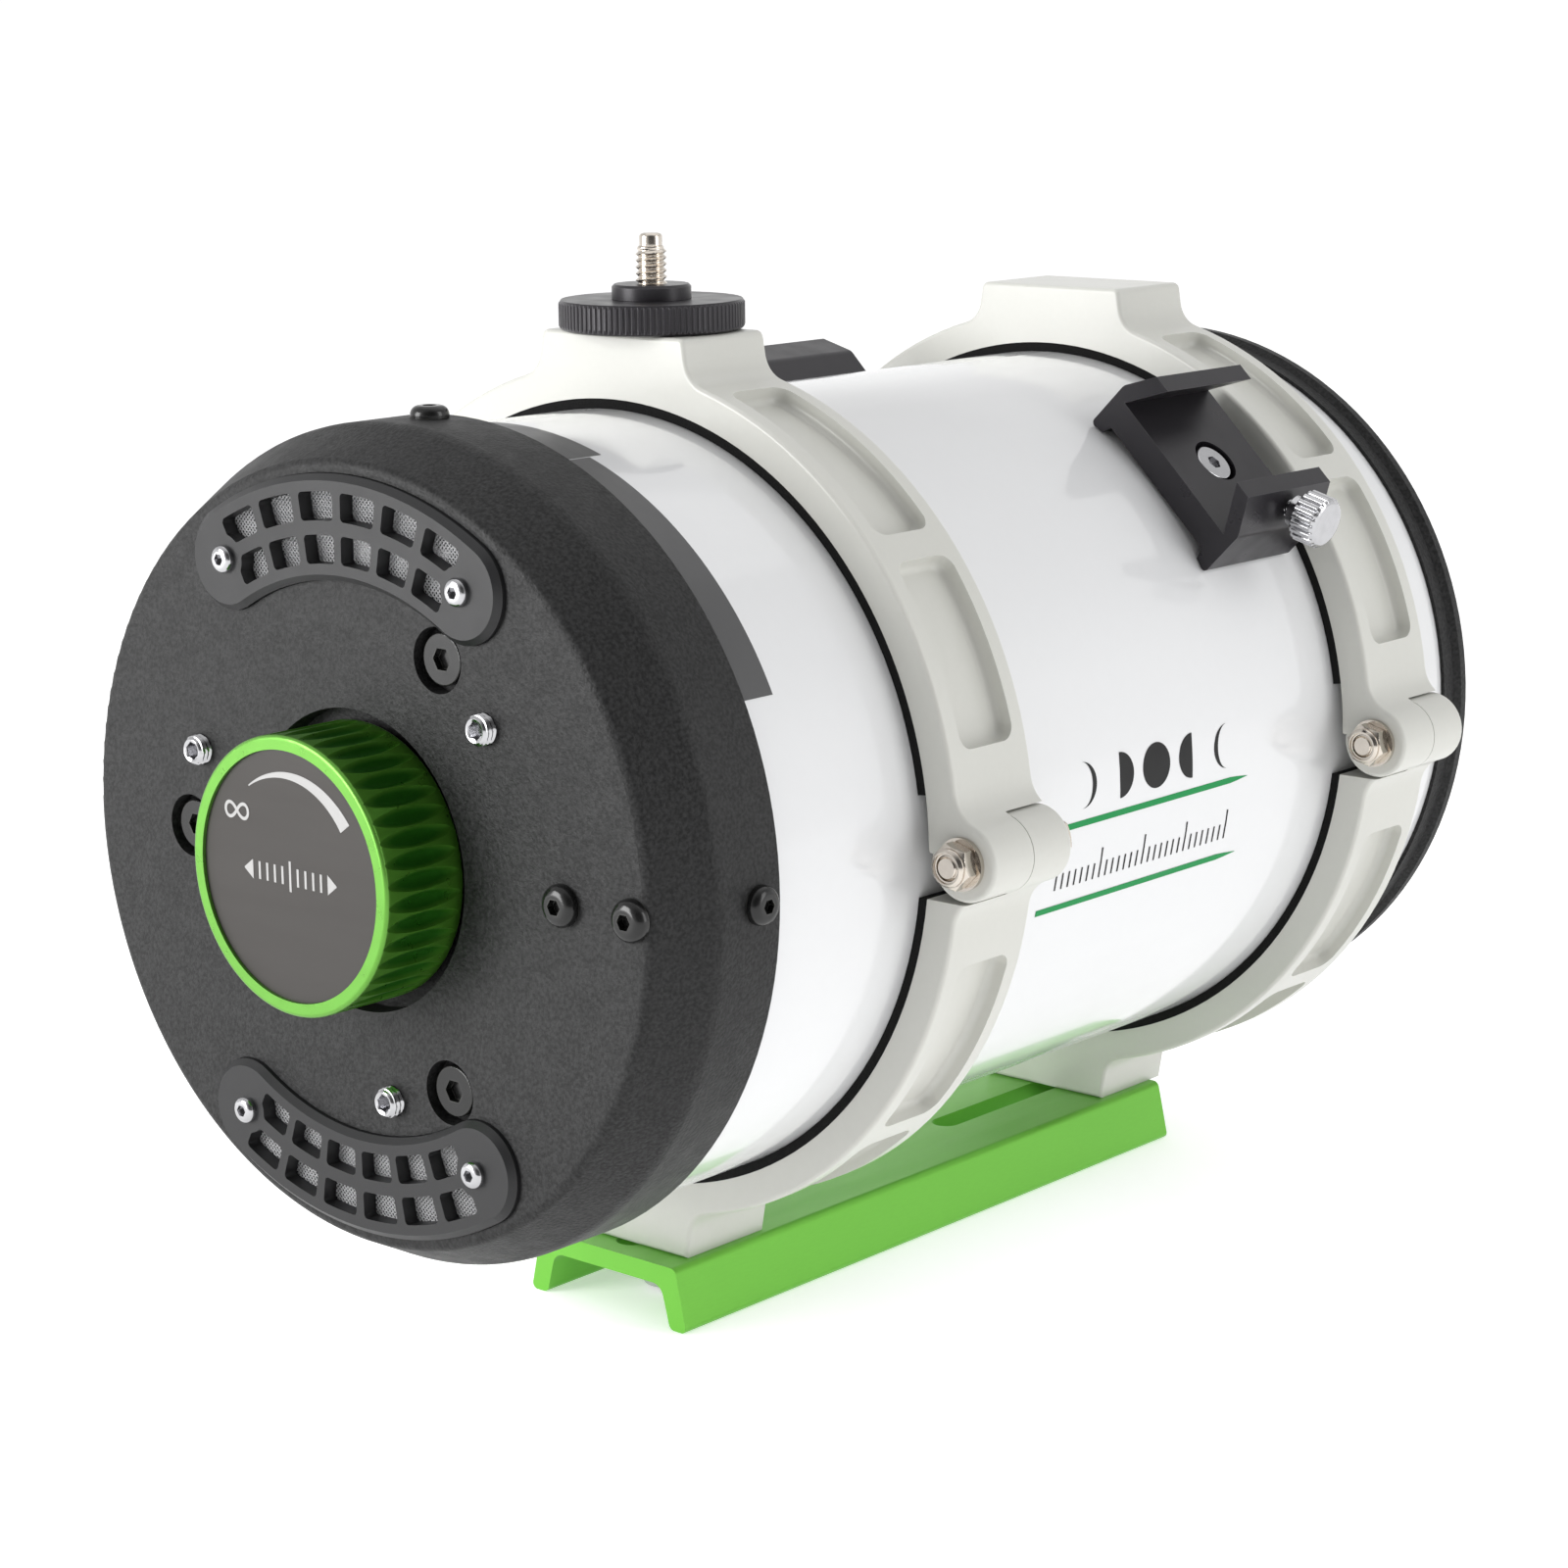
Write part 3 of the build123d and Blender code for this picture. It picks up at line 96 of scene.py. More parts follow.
def noise(tree, vector, size, detail=2.0):
    """Noise whose features are about size metres across."""
    node = tree.nodes.new("ShaderNodeTexNoise")
    node.inputs["Scale"].default_value = 1 / size
    node.inputs["Detail"].default_value = detail
    tree.links.new(vector, node.inputs["Vector"])
    return node.outputs["Fac"]


def remap(tree, value, from_low, from_high, to_low, to_high):
    """Value moved from one range to another, clamped."""
    node = tree.nodes.new("ShaderNodeMapRange")
    node.inputs["From Min"].default_value = from_low
    node.inputs["From Max"].default_value = from_high
    node.inputs["To Min"].default_value = to_low
    node.inputs["To Max"].default_value = to_high
    tree.links.new(value, node.inputs["Value"])
    return node.outputs["Result"]


def calculate(tree, operation, first, second):
    """One arithmetic step on a socket and a socket or number."""
    node = tree.nodes.new("ShaderNodeMath")
    node.operation = operation
    tree.links.new(first, node.inputs[0])
    if isinstance(second, (int, float)):
        node.inputs[1].default_value = second
    else:
        tree.links.new(second, node.inputs[1])
    return node.outputs[0]


def mixed(tree, factor, first, second):
    """Colour between first and second, each a socket or an RGB triple."""
    node = tree.nodes.new("ShaderNodeMix")
    node.data_type = "RGBA"
    tree.links.new(factor, node.inputs["Factor"])
    for key, colour in ((6, first), (7, second)):
        if isinstance(colour, tuple):
            node.inputs[key].default_value = (*colour, 1)
        else:
            tree.links.new(colour, node.inputs[key])
    return node.outputs[2]


def shade(colour, factor):
    """Colour made lighter or darker."""
    return tuple(min(1.0, channel * factor) for channel in colour)


def shade_socket(tree, colour, factor):
    """A colour socket made darker."""
    node = tree.nodes.new("ShaderNodeMix")
    node.data_type = "RGBA"
    node.blend_type = "MULTIPLY"
    node.inputs["Factor"].default_value = 1.0
    tree.links.new(colour, node.inputs[6])
    node.inputs[7].default_value = (factor, factor, factor, 1)
    return node.outputs[2]


def raise_relief(tree, shader, height):
    """Bump the shader by a height in metres."""
    bump = tree.nodes.new("ShaderNodeBump")
    bump.inputs["Strength"].default_value = 1.0
    bump.inputs["Distance"].default_value = 1.0
    tree.links.new(height, bump.inputs["Height"])
    tree.links.new(bump.outputs["Normal"], shader.inputs["Normal"])


def edge_mask(tree, width):
    """1 on convex and concave edges, 0 elsewhere."""
    bevel = tree.nodes.new("ShaderNodeBevel")
    bevel.samples = 4
    bevel.inputs["Radius"].default_value = width
    geometry = tree.nodes.new("ShaderNodeNewGeometry")
    dot = tree.nodes.new("ShaderNodeVectorMath")
    dot.operation = "DOT_PRODUCT"
    tree.links.new(bevel.outputs["Normal"], dot.inputs[0])
    tree.links.new(geometry.outputs["Normal"], dot.inputs[1])
    return remap(tree, dot.outputs["Value"], 0.995, 0.93, 0, 1)


WEAR_PATCH = 4 * MM        # size of the patches in which edges are more or less worn


def finish(name, colour, roughness, metallic=0.0, grain=None, fine=None, mottle=0.05,
           rough_spread=0.05, patch=0.02, stretch=(1, 1, 1), wear=None, hollow_shade=0.97, **sockets):
    """Surface with colour that wanders, uneven gloss, up to two sizes of relief and worn edges.

    grain and fine are (size, depth) in metres, patch the size of the colour's wandering,
    wear is (width, colour, amount), and the hollow factor darkens the relief's hollows as painted
    shade.
    """
    named = {key.replace("_", " "): value for key, value in sockets.items()}
    made, tree, shader = new_material(name, colour, roughness, metallic, named)
    vector = places(tree, stretch)
    wander = noise(tree, vector, patch, 4.0)
    tone = mixed(tree, wander, shade(colour, 1 - mottle), shade(colour, 1 + mottle))
    gloss = remap(tree, noise(tree, vector, patch / 3, 5.0), 0.3, 0.7,
                  max(0.0, roughness - rough_spread), roughness + rough_spread)
    if grain is not None:
        relief = noise(tree, vector, grain[0], 3.0)
        raised = remap(tree, relief, 0.35, 0.65, 0, 1)
        # Painted shade: the relief's hollows are darkened in the colour.
        tone = mixed(tree, raised, shade_socket(tree, tone, hollow_shade), tone)
        height = calculate(tree, "MULTIPLY", relief, grain[1])
        if fine is not None:
            small = calculate(tree, "MULTIPLY", noise(tree, vector, fine[0], 2.0), fine[1])
            height = calculate(tree, "ADD", height, small)
        raise_relief(tree, shader, height)
    if wear is not None:
        width, worn, amount = wear
        edges = edge_mask(tree, width)
        patches = remap(tree, noise(tree, vector, WEAR_PATCH, 3.0), 0.35, 0.7, 0.2 * amount, amount)
        rubbed = calculate(tree, "MULTIPLY", edges, patches)
        tone = mixed(tree, rubbed, tone, worn)
    tree.links.new(tone, shader.inputs["Base Color"])
    tree.links.new(gloss, shader.inputs["Roughness"])
    return made


GREEN = (0.16, 0.50, 0.05)
# Flute colour: the knob's green darkened as painted shade in the grooves.
FLUTE_SHADE_GREEN = (0.018, 0.135, 0.006)
# Pale rim green, partly turned finish and partly painted light; also the colour of the bar's worn
# edges.
PALE_GREEN = (0.135, 0.37, 0.052)


def knob_green():
    """Green anodising: paler front rim (turned finish and painted light), painted shade in the flutes,
    ridges lighter (rubbed and painted light).
    """
    made, tree, shader = new_material("knob_green", GREEN, 0.30, 0.65, {"Specular IOR Level": 0.5})
    vector = places(tree)
    low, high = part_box("focus_knob")
    front, radius = low.y, (high.x - low.x) / 2
    split = tree.nodes.new("ShaderNodeSeparateXYZ")
    tree.links.new(vector, split.inputs[0])
    # Paler front rim: partly its turned finish, partly painted light where it faces the lamps.
    is_side = remap(tree, split.outputs["Y"], front + 0.5 * MM, front + 1.3 * MM, 0, 1)
    grain = noise(tree, vector, 0.25 * MM, 3.0)
    side = mixed(tree, grain, shade(FLUTE_SHADE_GREEN, 0.8), shade(FLUTE_SHADE_GREEN, 1.5))
    rim = mixed(tree, grain, shade(PALE_GREEN, 0.92), shade(PALE_GREEN, 1.06))
    across = split.outputs["X"]
    upright = calculate(tree, "SUBTRACT", split.outputs["Z"], AXIS_Z)
    squares = calculate(tree, "ADD", calculate(tree, "MULTIPLY", across, across),
                        calculate(tree, "MULTIPLY", upright, upright))
    reach = calculate(tree, "POWER", squares, 0.5)
    # Flutes darker as painted shade, ridges lighter as rubbed anodising and painted light.
    ridge = remap(tree, reach, radius - 0.75 * MM, radius - 0.05 * MM, 0, 1)
    rubbed = mixed(tree, ridge, side, shade(GREEN, 0.62))
    tree.links.new(mixed(tree, is_side, rim, rubbed), shader.inputs["Base Color"])
    gloss = remap(tree, noise(tree, vector, 3 * MM, 4.0), 0.3, 0.7, 0.26, 0.4)
    tree.links.new(gloss, shader.inputs["Roughness"])
    raise_relief(tree, shader, calculate(tree, "MULTIPLY", grain, 0.004 * MM))
    return made


def felt():
    """Black felt: matted fibres with a soft sheen."""
    made, tree, shader = new_material(
        "felt", (0.006, 0.006, 0.006), 0.95, 0.0,
        {"Sheen Weight": 0.04, "Sheen Roughness": 0.6, "Specular IOR Level": 0.08})
    vector = places(tree)
    fibres = noise(tree, places(tree, (1, 3, 1)), 0.25 * MM, 6.0)
    clumps = noise(tree, vector, 1.6 * MM, 3.0)
    tone = mixed(tree, fibres, (0.003, 0.003, 0.003), (0.016, 0.016, 0.016))
    tree.links.new(tone, shader.inputs["Base Color"])
    height = calculate(tree, "ADD", calculate(tree, "MULTIPLY", fibres, 0.12 * MM),
                       calculate(tree, "MULTIPLY", clumps, 0.15 * MM))
    raise_relief(tree, shader, height)
    return made


def glass(name, colour, film):
    """Coated optical glass."""
    made, tree, shader = new_material(name, colour, 0.0, 0.0, {
        "Transmission Weight": 1.0, "IOR": 1.5, "Thin Film Thickness": film, "Thin Film IOR": 1.38})
    gloss = remap(tree, noise(tree, places(tree), 12 * MM, 4.0), 0.35, 0.75, 0.0, 0.025)
    tree.links.new(gloss, shader.inputs["Roughness"])
    return made


WHITE = finish("tube_enamel", (0.79, 0.795, 0.805), 0.14, grain=(2.5 * MM, 0.0012 * MM), mottle=0.006,
               rough_spread=0.03, patch=0.05, hollow_shade=0.995, Coat_Weight=0.5, Coat_Roughness=0.05)
# The grain's hollows carry strong painted shade.
CELL = finish("cell_powder_coat", (0.026, 0.026, 0.0265), 0.50, grain=(0.7 * MM, 0.15 * MM),
              fine=(0.22 * MM, 0.03 * MM), mottle=0.05, rough_spread=0.05, patch=0.012, hollow_shade=0.32,
              wear=(0.35 * MM, (0.040, 0.040, 0.041), 0.5), Specular_IOR_Level=0.25)
GRILLE = finish("grille_moulding", (0.015, 0.015, 0.016), 0.42, grain=(0.3 * MM, 0.012 * MM),
                mottle=0.08, wear=(0.25 * MM, (0.055, 0.055, 0.056), 0.5), Specular_IOR_Level=0.4)
RING = finish("ring_paint", (0.625, 0.625, 0.583), 0.32, grain=(1.4 * MM, 0.012 * MM),
              fine=(0.4 * MM, 0.003 * MM), mottle=0.008, rough_spread=0.03, patch=0.03, hollow_shade=0.99,
              wear=(0.5 * MM, (0.70, 0.70, 0.66), 0.12), Coat_Weight=0.2, Coat_Roughness=0.18)
ANODISED = finish("black_anodising", (0.021, 0.019, 0.023), 0.33, metallic=0.3,
                  grain=(0.22 * MM, 0.004 * MM), mottle=0.15, rough_spread=0.06,
                  wear=(0.25 * MM, (0.10, 0.095, 0.105), 0.6))
BAR = finish("bar_green", GREEN, 0.33, metallic=0.5, grain=(0.30 * MM, 0.006 * MM), mottle=0.05,
             rough_spread=0.05, stretch=(1, 0.15, 1), wear=(0.4 * MM, PALE_GREEN, 0.7))
PLATE = finish("knob_plate_anodising", (0.030, 0.026, 0.023), 0.48, metallic=0.2,
               grain=(0.3 * MM, 0.003 * MM), mottle=0.05, stretch=(0.12, 1, 1))
CHROME = finish("bright_plating", (0.52, 0.52, 0.535), 0.13, metallic=1.0,
                grain=(1.5 * MM, 0.0006 * MM), mottle=0.08, rough_spread=0.06, patch=0.003)
NICKEL = finish("nickel_plating", (0.66, 0.605, 0.54), 0.16, metallic=1.0,
                grain=(0.7 * MM, 0.003 * MM), mottle=0.10, rough_spread=0.07, patch=0.003)
BLACK_STEEL = finish("black_oxide", (0.008, 0.008, 0.008), 0.20, grain=(0.5 * MM, 0.003 * MM),
                     mottle=0.2, wear=(0.3 * MM, (0.11, 0.11, 0.10), 0.9), Specular_IOR_Level=0.45)
WIRE = finish("wire_cloth", (0.62, 0.62, 0.63), 0.38, metallic=0.2, grain=(0.3 * MM, 0.004 * MM),
              mottle=0.25, patch=0.006)
MACHINED = finish("machined_aluminium", (0.62, 0.62, 0.63), 0.30, metallic=1.0,
                  grain=(0.35 * MM, 0.004 * MM), mottle=0.05, stretch=(1, 1, 0.2))
STEEL = finish("ground_steel", (0.48, 0.48, 0.49), 0.25, metallic=1.0, grain=(0.3 * MM, 0.003 * MM),
               stretch=(1, 0.1, 1))
BRONZE = finish("sintered_bronze", (0.52, 0.31, 0.12), 0.4, metallic=1.0, grain=(0.3 * MM, 0.012 * MM),
                mottle=0.15)
RUBBER = finish("gasket_rubber", (0.012, 0.012, 0.012), 0.7, grain=(0.5 * MM, 0.01 * MM), mottle=0.2)
MIRROR = finish("mirror_coating", (0.88, 0.88, 0.89), 0.02, metallic=1.0, grain=(20 * MM, 0.0002 * MM),
                mottle=0.01, rough_spread=0.015)
PRINT_BLACK = finish("printed_black", (0.012, 0.012, 0.0125), 0.4, grain=(0.3 * MM, 0.002 * MM),
                     mottle=0.1, Specular_IOR_Level=0.2)
PRINT_GREEN = finish("printed_green", (0.002, 0.27, 0.065), 0.4, grain=(0.3 * MM, 0.002 * MM),
                     mottle=0.05, Specular_IOR_Level=0.2)
PRINT_GREY = finish("printed_grey", (0.42, 0.415, 0.41), 0.5, grain=(0.3 * MM, 0.002 * MM), mottle=0.04)
VINYL = finish("label_vinyl", (0.075, 0.075, 0.077), 0.36, grain=(0.9 * MM, 0.004 * MM), mottle=0.05)
KNOB = knob_green()
FELT = felt()
LENS = glass("corrector_glass", (0.90, 0.96, 0.93), 420)
FIELD = glass("field_glass", (0.93, 0.93, 0.97), 350)

CAD_FINISHES = (
    (WHITE, ("tube_shell",)),
    (CELL, ("rear_cell", "front_cell")),
    (GRILLE, ("vent_grille_top", "vent_grille_bottom")),
    (CHROME, ("vent_screws", "shoe_screws", "bar_bolts", "bar_washers")),
    (NICKEL, ("hinge_washers",)),
    (BLACK_STEEL, ("rim_screws", "pull_screws", "stop_screws")),
    (KNOB, ("focus_knob",)),
    (BAR, ("dovetail_bar",)),
    (PLATE, ("knob_plate",)),
    (RING, ("rear_ring_upper", "rear_ring_lower", "front_ring_upper", "front_ring_lower")),
    (FELT, ("rear_felt_upper", "rear_felt_lower", "front_felt_upper", "front_felt_lower")),
    (ANODISED, ("camera_wheel", "lock_collar", "finder_shoe_right", "finder_shoe_left",
                "port_housing", "port_clamp_ring", "lens_retainer", "field_lens_spacer",
                "mirror_retainer")),
    (MACHINED, ("tilt_plate", "mirror_carrier")),
    (STEEL, ("focus_shaft", "guide_rods")),
    (BRONZE, ("focus_bearing",)),
    (RUBBER, ("lens_gasket", "mirror_cushion")),
    (LENS, ("corrector_lens",)),
    (FIELD, ("field_lens_rear", "field_lens_front")),
    (MIRROR, ("primary_mirror",)),
)


def dress_cad_nodes():
    """Give every carried-over CAD node its finish."""
    for material, names in CAD_FINISHES:
        for name in names:
            mesh = NODES[name].data
            mesh.materials.clear()
            mesh.materials.append(material)


# ---- mesh helpers --------------------------------------------------------------------
SHARP = math.radians(38)


def mesh_piece(name, points, faces, material, body, slot, sharp=SHARP):
    """Object made from points and faces, with its finish and body. The slot argument is not used."""
    mesh = bpy.data.meshes.new(name)
    mesh.from_pydata([tuple(point) for point in points], [], faces)
    mesh.materials.append(material)
    mesh.validate()
    mesh.polygons.foreach_set("use_smooth", [True] * len(mesh.polygons))
    mesh.set_sharp_from_angle(angle=sharp)
    piece = bpy.data.objects.new(name, mesh)
    bpy.context.scene.collection.objects.link(piece)
    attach(piece, body)
    return piece


def spun(rings, origin, axis, segments, closed=False):
    """Points and faces of a body of rings along an axis.

    Each ring is (height, radius), and radius is a number or a function of the angle.
    A ring of radius 0 is one point. A closed body joins its last ring to its first.
    """
    origin = Vector(origin)
    axis = Vector(axis).normalized()
    across = axis.orthogonal().normalized()
    around = axis.cross(across)
    points, rows = [], []
    for height, radius in rings:
        centre = origin + axis * height
        if radius == 0:
            rows.append([len(points)] * segments)
            points.append(centre)
            continue
        rows.append(list(range(len(points), len(points) + segments)))
        for step in range(segments):
            angle = 2 * math.pi * step / segments
            reach = radius(angle) if callable(radius) else radius
            points.append(centre + (across * math.cos(angle) + around * math.sin(angle)) * reach)
    pairs = list(zip(rows, rows[1:]))
    if closed:
        pairs.append((rows[-1], rows[0]))
    faces = []
    for low, high in pairs:
        for step in range(segments):
            after = (step + 1) % segments
            corners = [low[step], low[after], high[after], high[step]]
            faces.append([c for i, c in enumerate(corners) if c not in corners[:i]])
    return points, faces


def joined(*shapes):
    """Several (points, faces) as one."""
    points, faces = [], []
    for more_points, more_faces in shapes:
        first = len(points)
        points.extend(more_points)
        faces.extend([first + index for index in face] for face in more_faces)
    return points, faces


def hexagon(apothem, limit=1.0):
    """Radius of a hexagon with that distance across half its flats, cut off at a limit."""
    def radius(angle):
        turn = angle % (math.pi / 3) - math.pi / 6
        return min(apothem / math.cos(turn), limit)
    return radius


def thread_rings(start, end, radius, pitch, depth, steps=8, run_out=0.0):
    """Rings of an outside thread. run_out is the length over which it fades at the end."""
    rows = max(2, round((end - start) / pitch * steps))

    def ring_radius(height):
        fade = 1.0 if run_out == 0 else min(1.0, max(0.0, (end - height) / run_out))

        def at(angle):
            phase = (height / pitch - angle / (2 * math.pi)) % 1.0
            ridge = min(1.0, 2.4 * abs(phase - 0.5))
            return radius - depth * ridge - depth * (1 - fade) * (1 - ridge)
        return at

    heights = [start + (end - start) * row / rows for row in range(rows + 1)]
    return [(height, ring_radius(height)) for height in heights]


def ribbed(radius, ribs, depth):
    """Radius of a knob with broad ribs and narrower rounded grooves."""
    def at(angle):
        across = (ribs * angle / (2 * math.pi)) % 1.0 - 0.5
        return radius - depth * math.exp(-((across / 0.17) ** 2))
    return at


# ---- fasteners with real threads and chamfers ----------------------------------------
STUD_PITCH = 1.27 * MM     # 20 turns to the inch


def make_camera_stud():
    """Quarter-inch stud with a coarse thread and a dog point."""
    low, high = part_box("camera_stud")
    collar_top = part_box("lock_collar")[1].z
    radius = (high.x - low.x) / 2
    x, y = (low.x + high.x) / 2, (low.y + high.y) / 2
    top = high.z - low.z
    core_r, dog_r, dog = 0.9 * radius, 0.72 * radius, 2.6 * MM
    thread_start = collar_top - low.z - 0.9 * MM
    thread_end = top - dog
    rings = [(0, 0), (0, core_r), (thread_start - 0.1 * MM, core_r)]
    rings += thread_rings(thread_start, thread_end, radius, STUD_PITCH, 0.62 * MM, steps=10,
                          run_out=1.0 * MM)
    rings += [(thread_end + 0.15 * MM, dog_r), (top - 0.6 * MM, dog_r), (top - 0.2 * MM, dog_r * 0.88),
              (top, dog_r * 0.62), (top, 0)]
    shape = spun(rings, (x, y, low.z), (0, 0, 1), 48)
    piece = mesh_piece("threaded_camera_stud", *shape, NICKEL, "rear_ring_cap", "nickel")
    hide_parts("camera_stud")


def hinge_places():
    """Pivot of the rear hinge, and how far ahead of it the front hinge is."""
    pivot = Vector(JOINTS["rear_ring_open"]["pos_m"])
    return pivot, JOINTS["front_ring_open"]["pos_m"][1] - pivot.y


def hex_body(height, apothem, chamfer):
    """Outside rings of a hexagon with chamfered corners at both ends."""
    corner = apothem / math.cos(math.pi / 6)
    rows = 5
    low = [(chamfer * i / rows, hexagon(apothem, corner - (corner - 0.97 * apothem) * (1 - i / rows)))
           for i in range(rows)]
    high = [(height - level, radius) for level, radius in reversed(low)]
    return low + [(chamfer, hexagon(apothem))] + [(height - chamfer, hexagon(apothem))] + high


HINGE_BOLT_R = 2.5 * MM
HINGE_HEX = 3.97 * MM      # half the width across the flats


def make_hinge_nuts():
    """Locking nuts: chamfered hexagon with a rolled collar round a sunk insert."""
    bore = HINGE_BOLT_R + 0.02 * MM
    low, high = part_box("hinge_nuts")
    pivot, spacing = hinge_places()
    height = high.y - low.y - spacing
    flats = height - 1.0 * MM
    collar = ((0, 3.72), (0.4, 3.7), (0.75, 3.5), (1.0, 3.15), (0.94, 2.92), (0.55, 2.8), (0.5, 2.52))
    shapes = []
    for shift in (0, spacing):
        rings = hex_body(flats, HINGE_HEX, 0.5 * MM)
        rings += [(flats + rise * MM, reach * MM) for rise, reach in collar]
        rings += [(0.3 * MM, bore), (0, bore + 0.3 * MM)]
        start = (pivot.x, low.y + height + shift, pivot.z)
        shapes.append(spun(rings, start, (0, -1, 0), 96, closed=True))
    piece = mesh_piece("hinge_lock_nuts", *joined(*shapes), NICKEL, "mount_base", "nickel",
                       math.radians(25))
    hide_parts("hinge_nuts")


def make_hinge_bolts():
    """Hexagon bolts through the hinges, threaded at the nut's end."""
    radius = HINGE_BOLT_R
    low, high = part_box("hinge_bolts")
    pivot, spacing = hinge_places()
    length = high.y - low.y - spacing
    head = 3.5 * MM
    shapes = []
    for shift in (0, spacing):
        rings = [(0, 0), (0, 1.9 * MM), (0.35 * MM, 2.2 * MM)]
        rings += thread_rings(0.4 * MM, 8 * MM, radius, pitch=0.8 * MM, depth=0.32 * MM)
        rings += [(8.1 * MM, radius), (length - head, radius)]
        rings += [(length - head + level, reach)
                  for level, reach in hex_body(head, 4.0 * MM, 0.5 * MM)]
        rings += [(length, 3.3 * MM), (length - 0.25 * MM, 3.0 * MM), (length - 0.25 * MM, 0)]
        shapes.append(spun(rings, (pivot.x, low.y + shift, pivot.z), (0, 1, 0), 96))
    piece = mesh_piece("hinge_hex_bolts", *joined(*shapes), NICKEL, "mount_base", "nickel",
                       math.radians(25))
    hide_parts("hinge_bolts")


def make_push_screws():
    """Threaded set screws with a hexagon socket."""
    for number in (1, 2, 3):
        node = f"push_screw_{number}"
        low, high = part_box(node)
        radius = (high.x - low.x) / 2
        length = high.y - low.y
        x, z = (low.x + high.x) / 2, (low.z + high.z) / 2
        socket = 1.55 * MM
        rings = [(3.2 * MM, 0), (3.0 * MM, hexagon(socket)), (0.25 * MM, hexagon(socket)),
                 (0.05 * MM, socket * 1.25), (0, radius * 0.74), (0.1 * MM, radius * 0.8),
                 (0.45 * MM, radius * 0.9)]
        rings += thread_rings(0.5 * MM, length - 0.6 * MM, radius, pitch=1.0 * MM, depth=0.42 * MM)
        rings += [(length, radius * 0.7), (length, 0)]
        shape = spun(rings, (x, low.y, z), (0, 1, 0), 60)
        piece = mesh_piece(f"threaded_{node}", *shape, CHROME, node, "bright_steel", math.radians(28))
        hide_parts(node)


def knob_rings(base, height, radius, ribs, depth, edge):
    """Rings of a ribbed head with rounded ends and a shallow dish on top."""
    top = base + height
    return [(base, radius * 0.72), (base + edge * 0.4, radius - edge * 0.75),
            (base + edge, ribbed(radius, ribs, depth * 0.6)),
            (base + edge * 1.4, ribbed(radius, ribs, depth)),
            (base + edge * 1.6, ribbed(radius, ribs, depth)),
            (top - edge * 1.8, ribbed(radius, ribs, depth)),
            (top - edge * 1.6, ribbed(radius, ribs, depth)),
            (top - edge, ribbed(radius * 0.985, ribs, depth * 0.7)),
            (top - edge * 0.45, radius * 0.90), (top - edge * 0.12, radius * 0.83),
            (top, radius * 0.74), (top - 0.12 * edge, radius * 0.62), (top - 0.2 * edge, radius * 0.3),
            (top - 0.2 * edge, 0)]


def make_finder_thumbscrews():
    """Small plated thumbscrews of the finder shoes."""
    for place in ("right", "left"):
        joint = JOINTS[f"finder_thumbscrew_{place}_turn"]
        rings = [(-5.5 * MM, 0), (-5.5 * MM, 1.5 * MM)]
        rings += thread_rings(-5.2 * MM, 0.6 * MM, 2.0 * MM, pitch=0.7 * MM, depth=0.3 * MM)
        rings += [(0.7 * MM, 1.75 * MM), (1.0 * MM, 1.75 * MM), (1.05 * MM, 3.1 * MM),
                  (1.3 * MM, 3.4 * MM), (2.9 * MM, 3.4 * MM), (3.1 * MM, 3.5 * MM)]
        rings += knob_rings(3.2 * MM, 6.6 * MM, 5.6 * MM, ribs=20, depth=0.75 * MM, edge=0.9 * MM)
        shape = spun(rings, joint["pos_m"], joint["axis"], 320)
        name = f"finder_thumbscrew_{place}"
        piece = mesh_piece(f"ribbed_{name}", *shape, CHROME, name, "nickel", math.radians(30))
        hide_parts(name)


def make_clamp_screws():
    """Knurled thumbscrews that close the rings."""
    for place in ("rear", "front"):
        joint = JOINTS[f"{place}_clamp_turn"]
        node = f"{place}_clamp_screw"
        low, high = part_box(node)
        x, y, _ = joint["pos_m"]
        length = high.z - low.z
        head = 9 * MM
        rings = [(0, 0), (0, 2.4 * MM), (0.4 * MM, 2.7 * MM)]
        rings += thread_rings(0.5 * MM, length - head - 1 * MM, 3.0 * MM, pitch=1.0 * MM,
                              depth=0.4 * MM)
        rings += [(length - head - 0.9 * MM, 3.0 * MM), (length - head, 3.0 * MM)]
        rings += knob_rings(length - head, head, 8.0 * MM, ribs=30, depth=0.6 * MM, edge=1.1 * MM)
        shape = spun(rings, (x, y, low.z), (0, 0, 1), 360)
        piece = mesh_piece(f"knurled_{node}", *shape, ANODISED, f"{place}_clamp", "black_anodised",
                           math.radians(30))
        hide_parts(node)


def make_port_thread():
    """Fine inside thread of the camera port."""
    face_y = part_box("port_housing")[1].y
    radius = 23.98 * MM
    depth = 0.42 * MM
    length = 6.6 * MM
    inside = thread_rings(0, length, radius - depth * 0.1, pitch=0.75 * MM, depth=depth, steps=6)
    rings = inside + [(length, radius), (0, radius)]
    shape = spun(rings, (0, face_y - 7 * MM + 0.1 * MM, AXIS_Z), (0, 1, 0), 180, closed=True)
    mesh_piece("camera_port_thread", *shape, ANODISED, "optical_tube", "black_anodised",
               math.radians(20))


# ---- woven wire behind the vents -----------------------------------------------------
WEAVE_PITCH = 0.66 * MM
WIRE_R = 0.15 * MM
WEAVE_LIFT = 0.09 * MM
VENT_R = 62.8 * MM
VENT_HALF_ANGLE = math.radians(30.2)
VENT_WIDTH = 17.2 * MM
VENT_SCREW_HOLE = 1.9 * MM


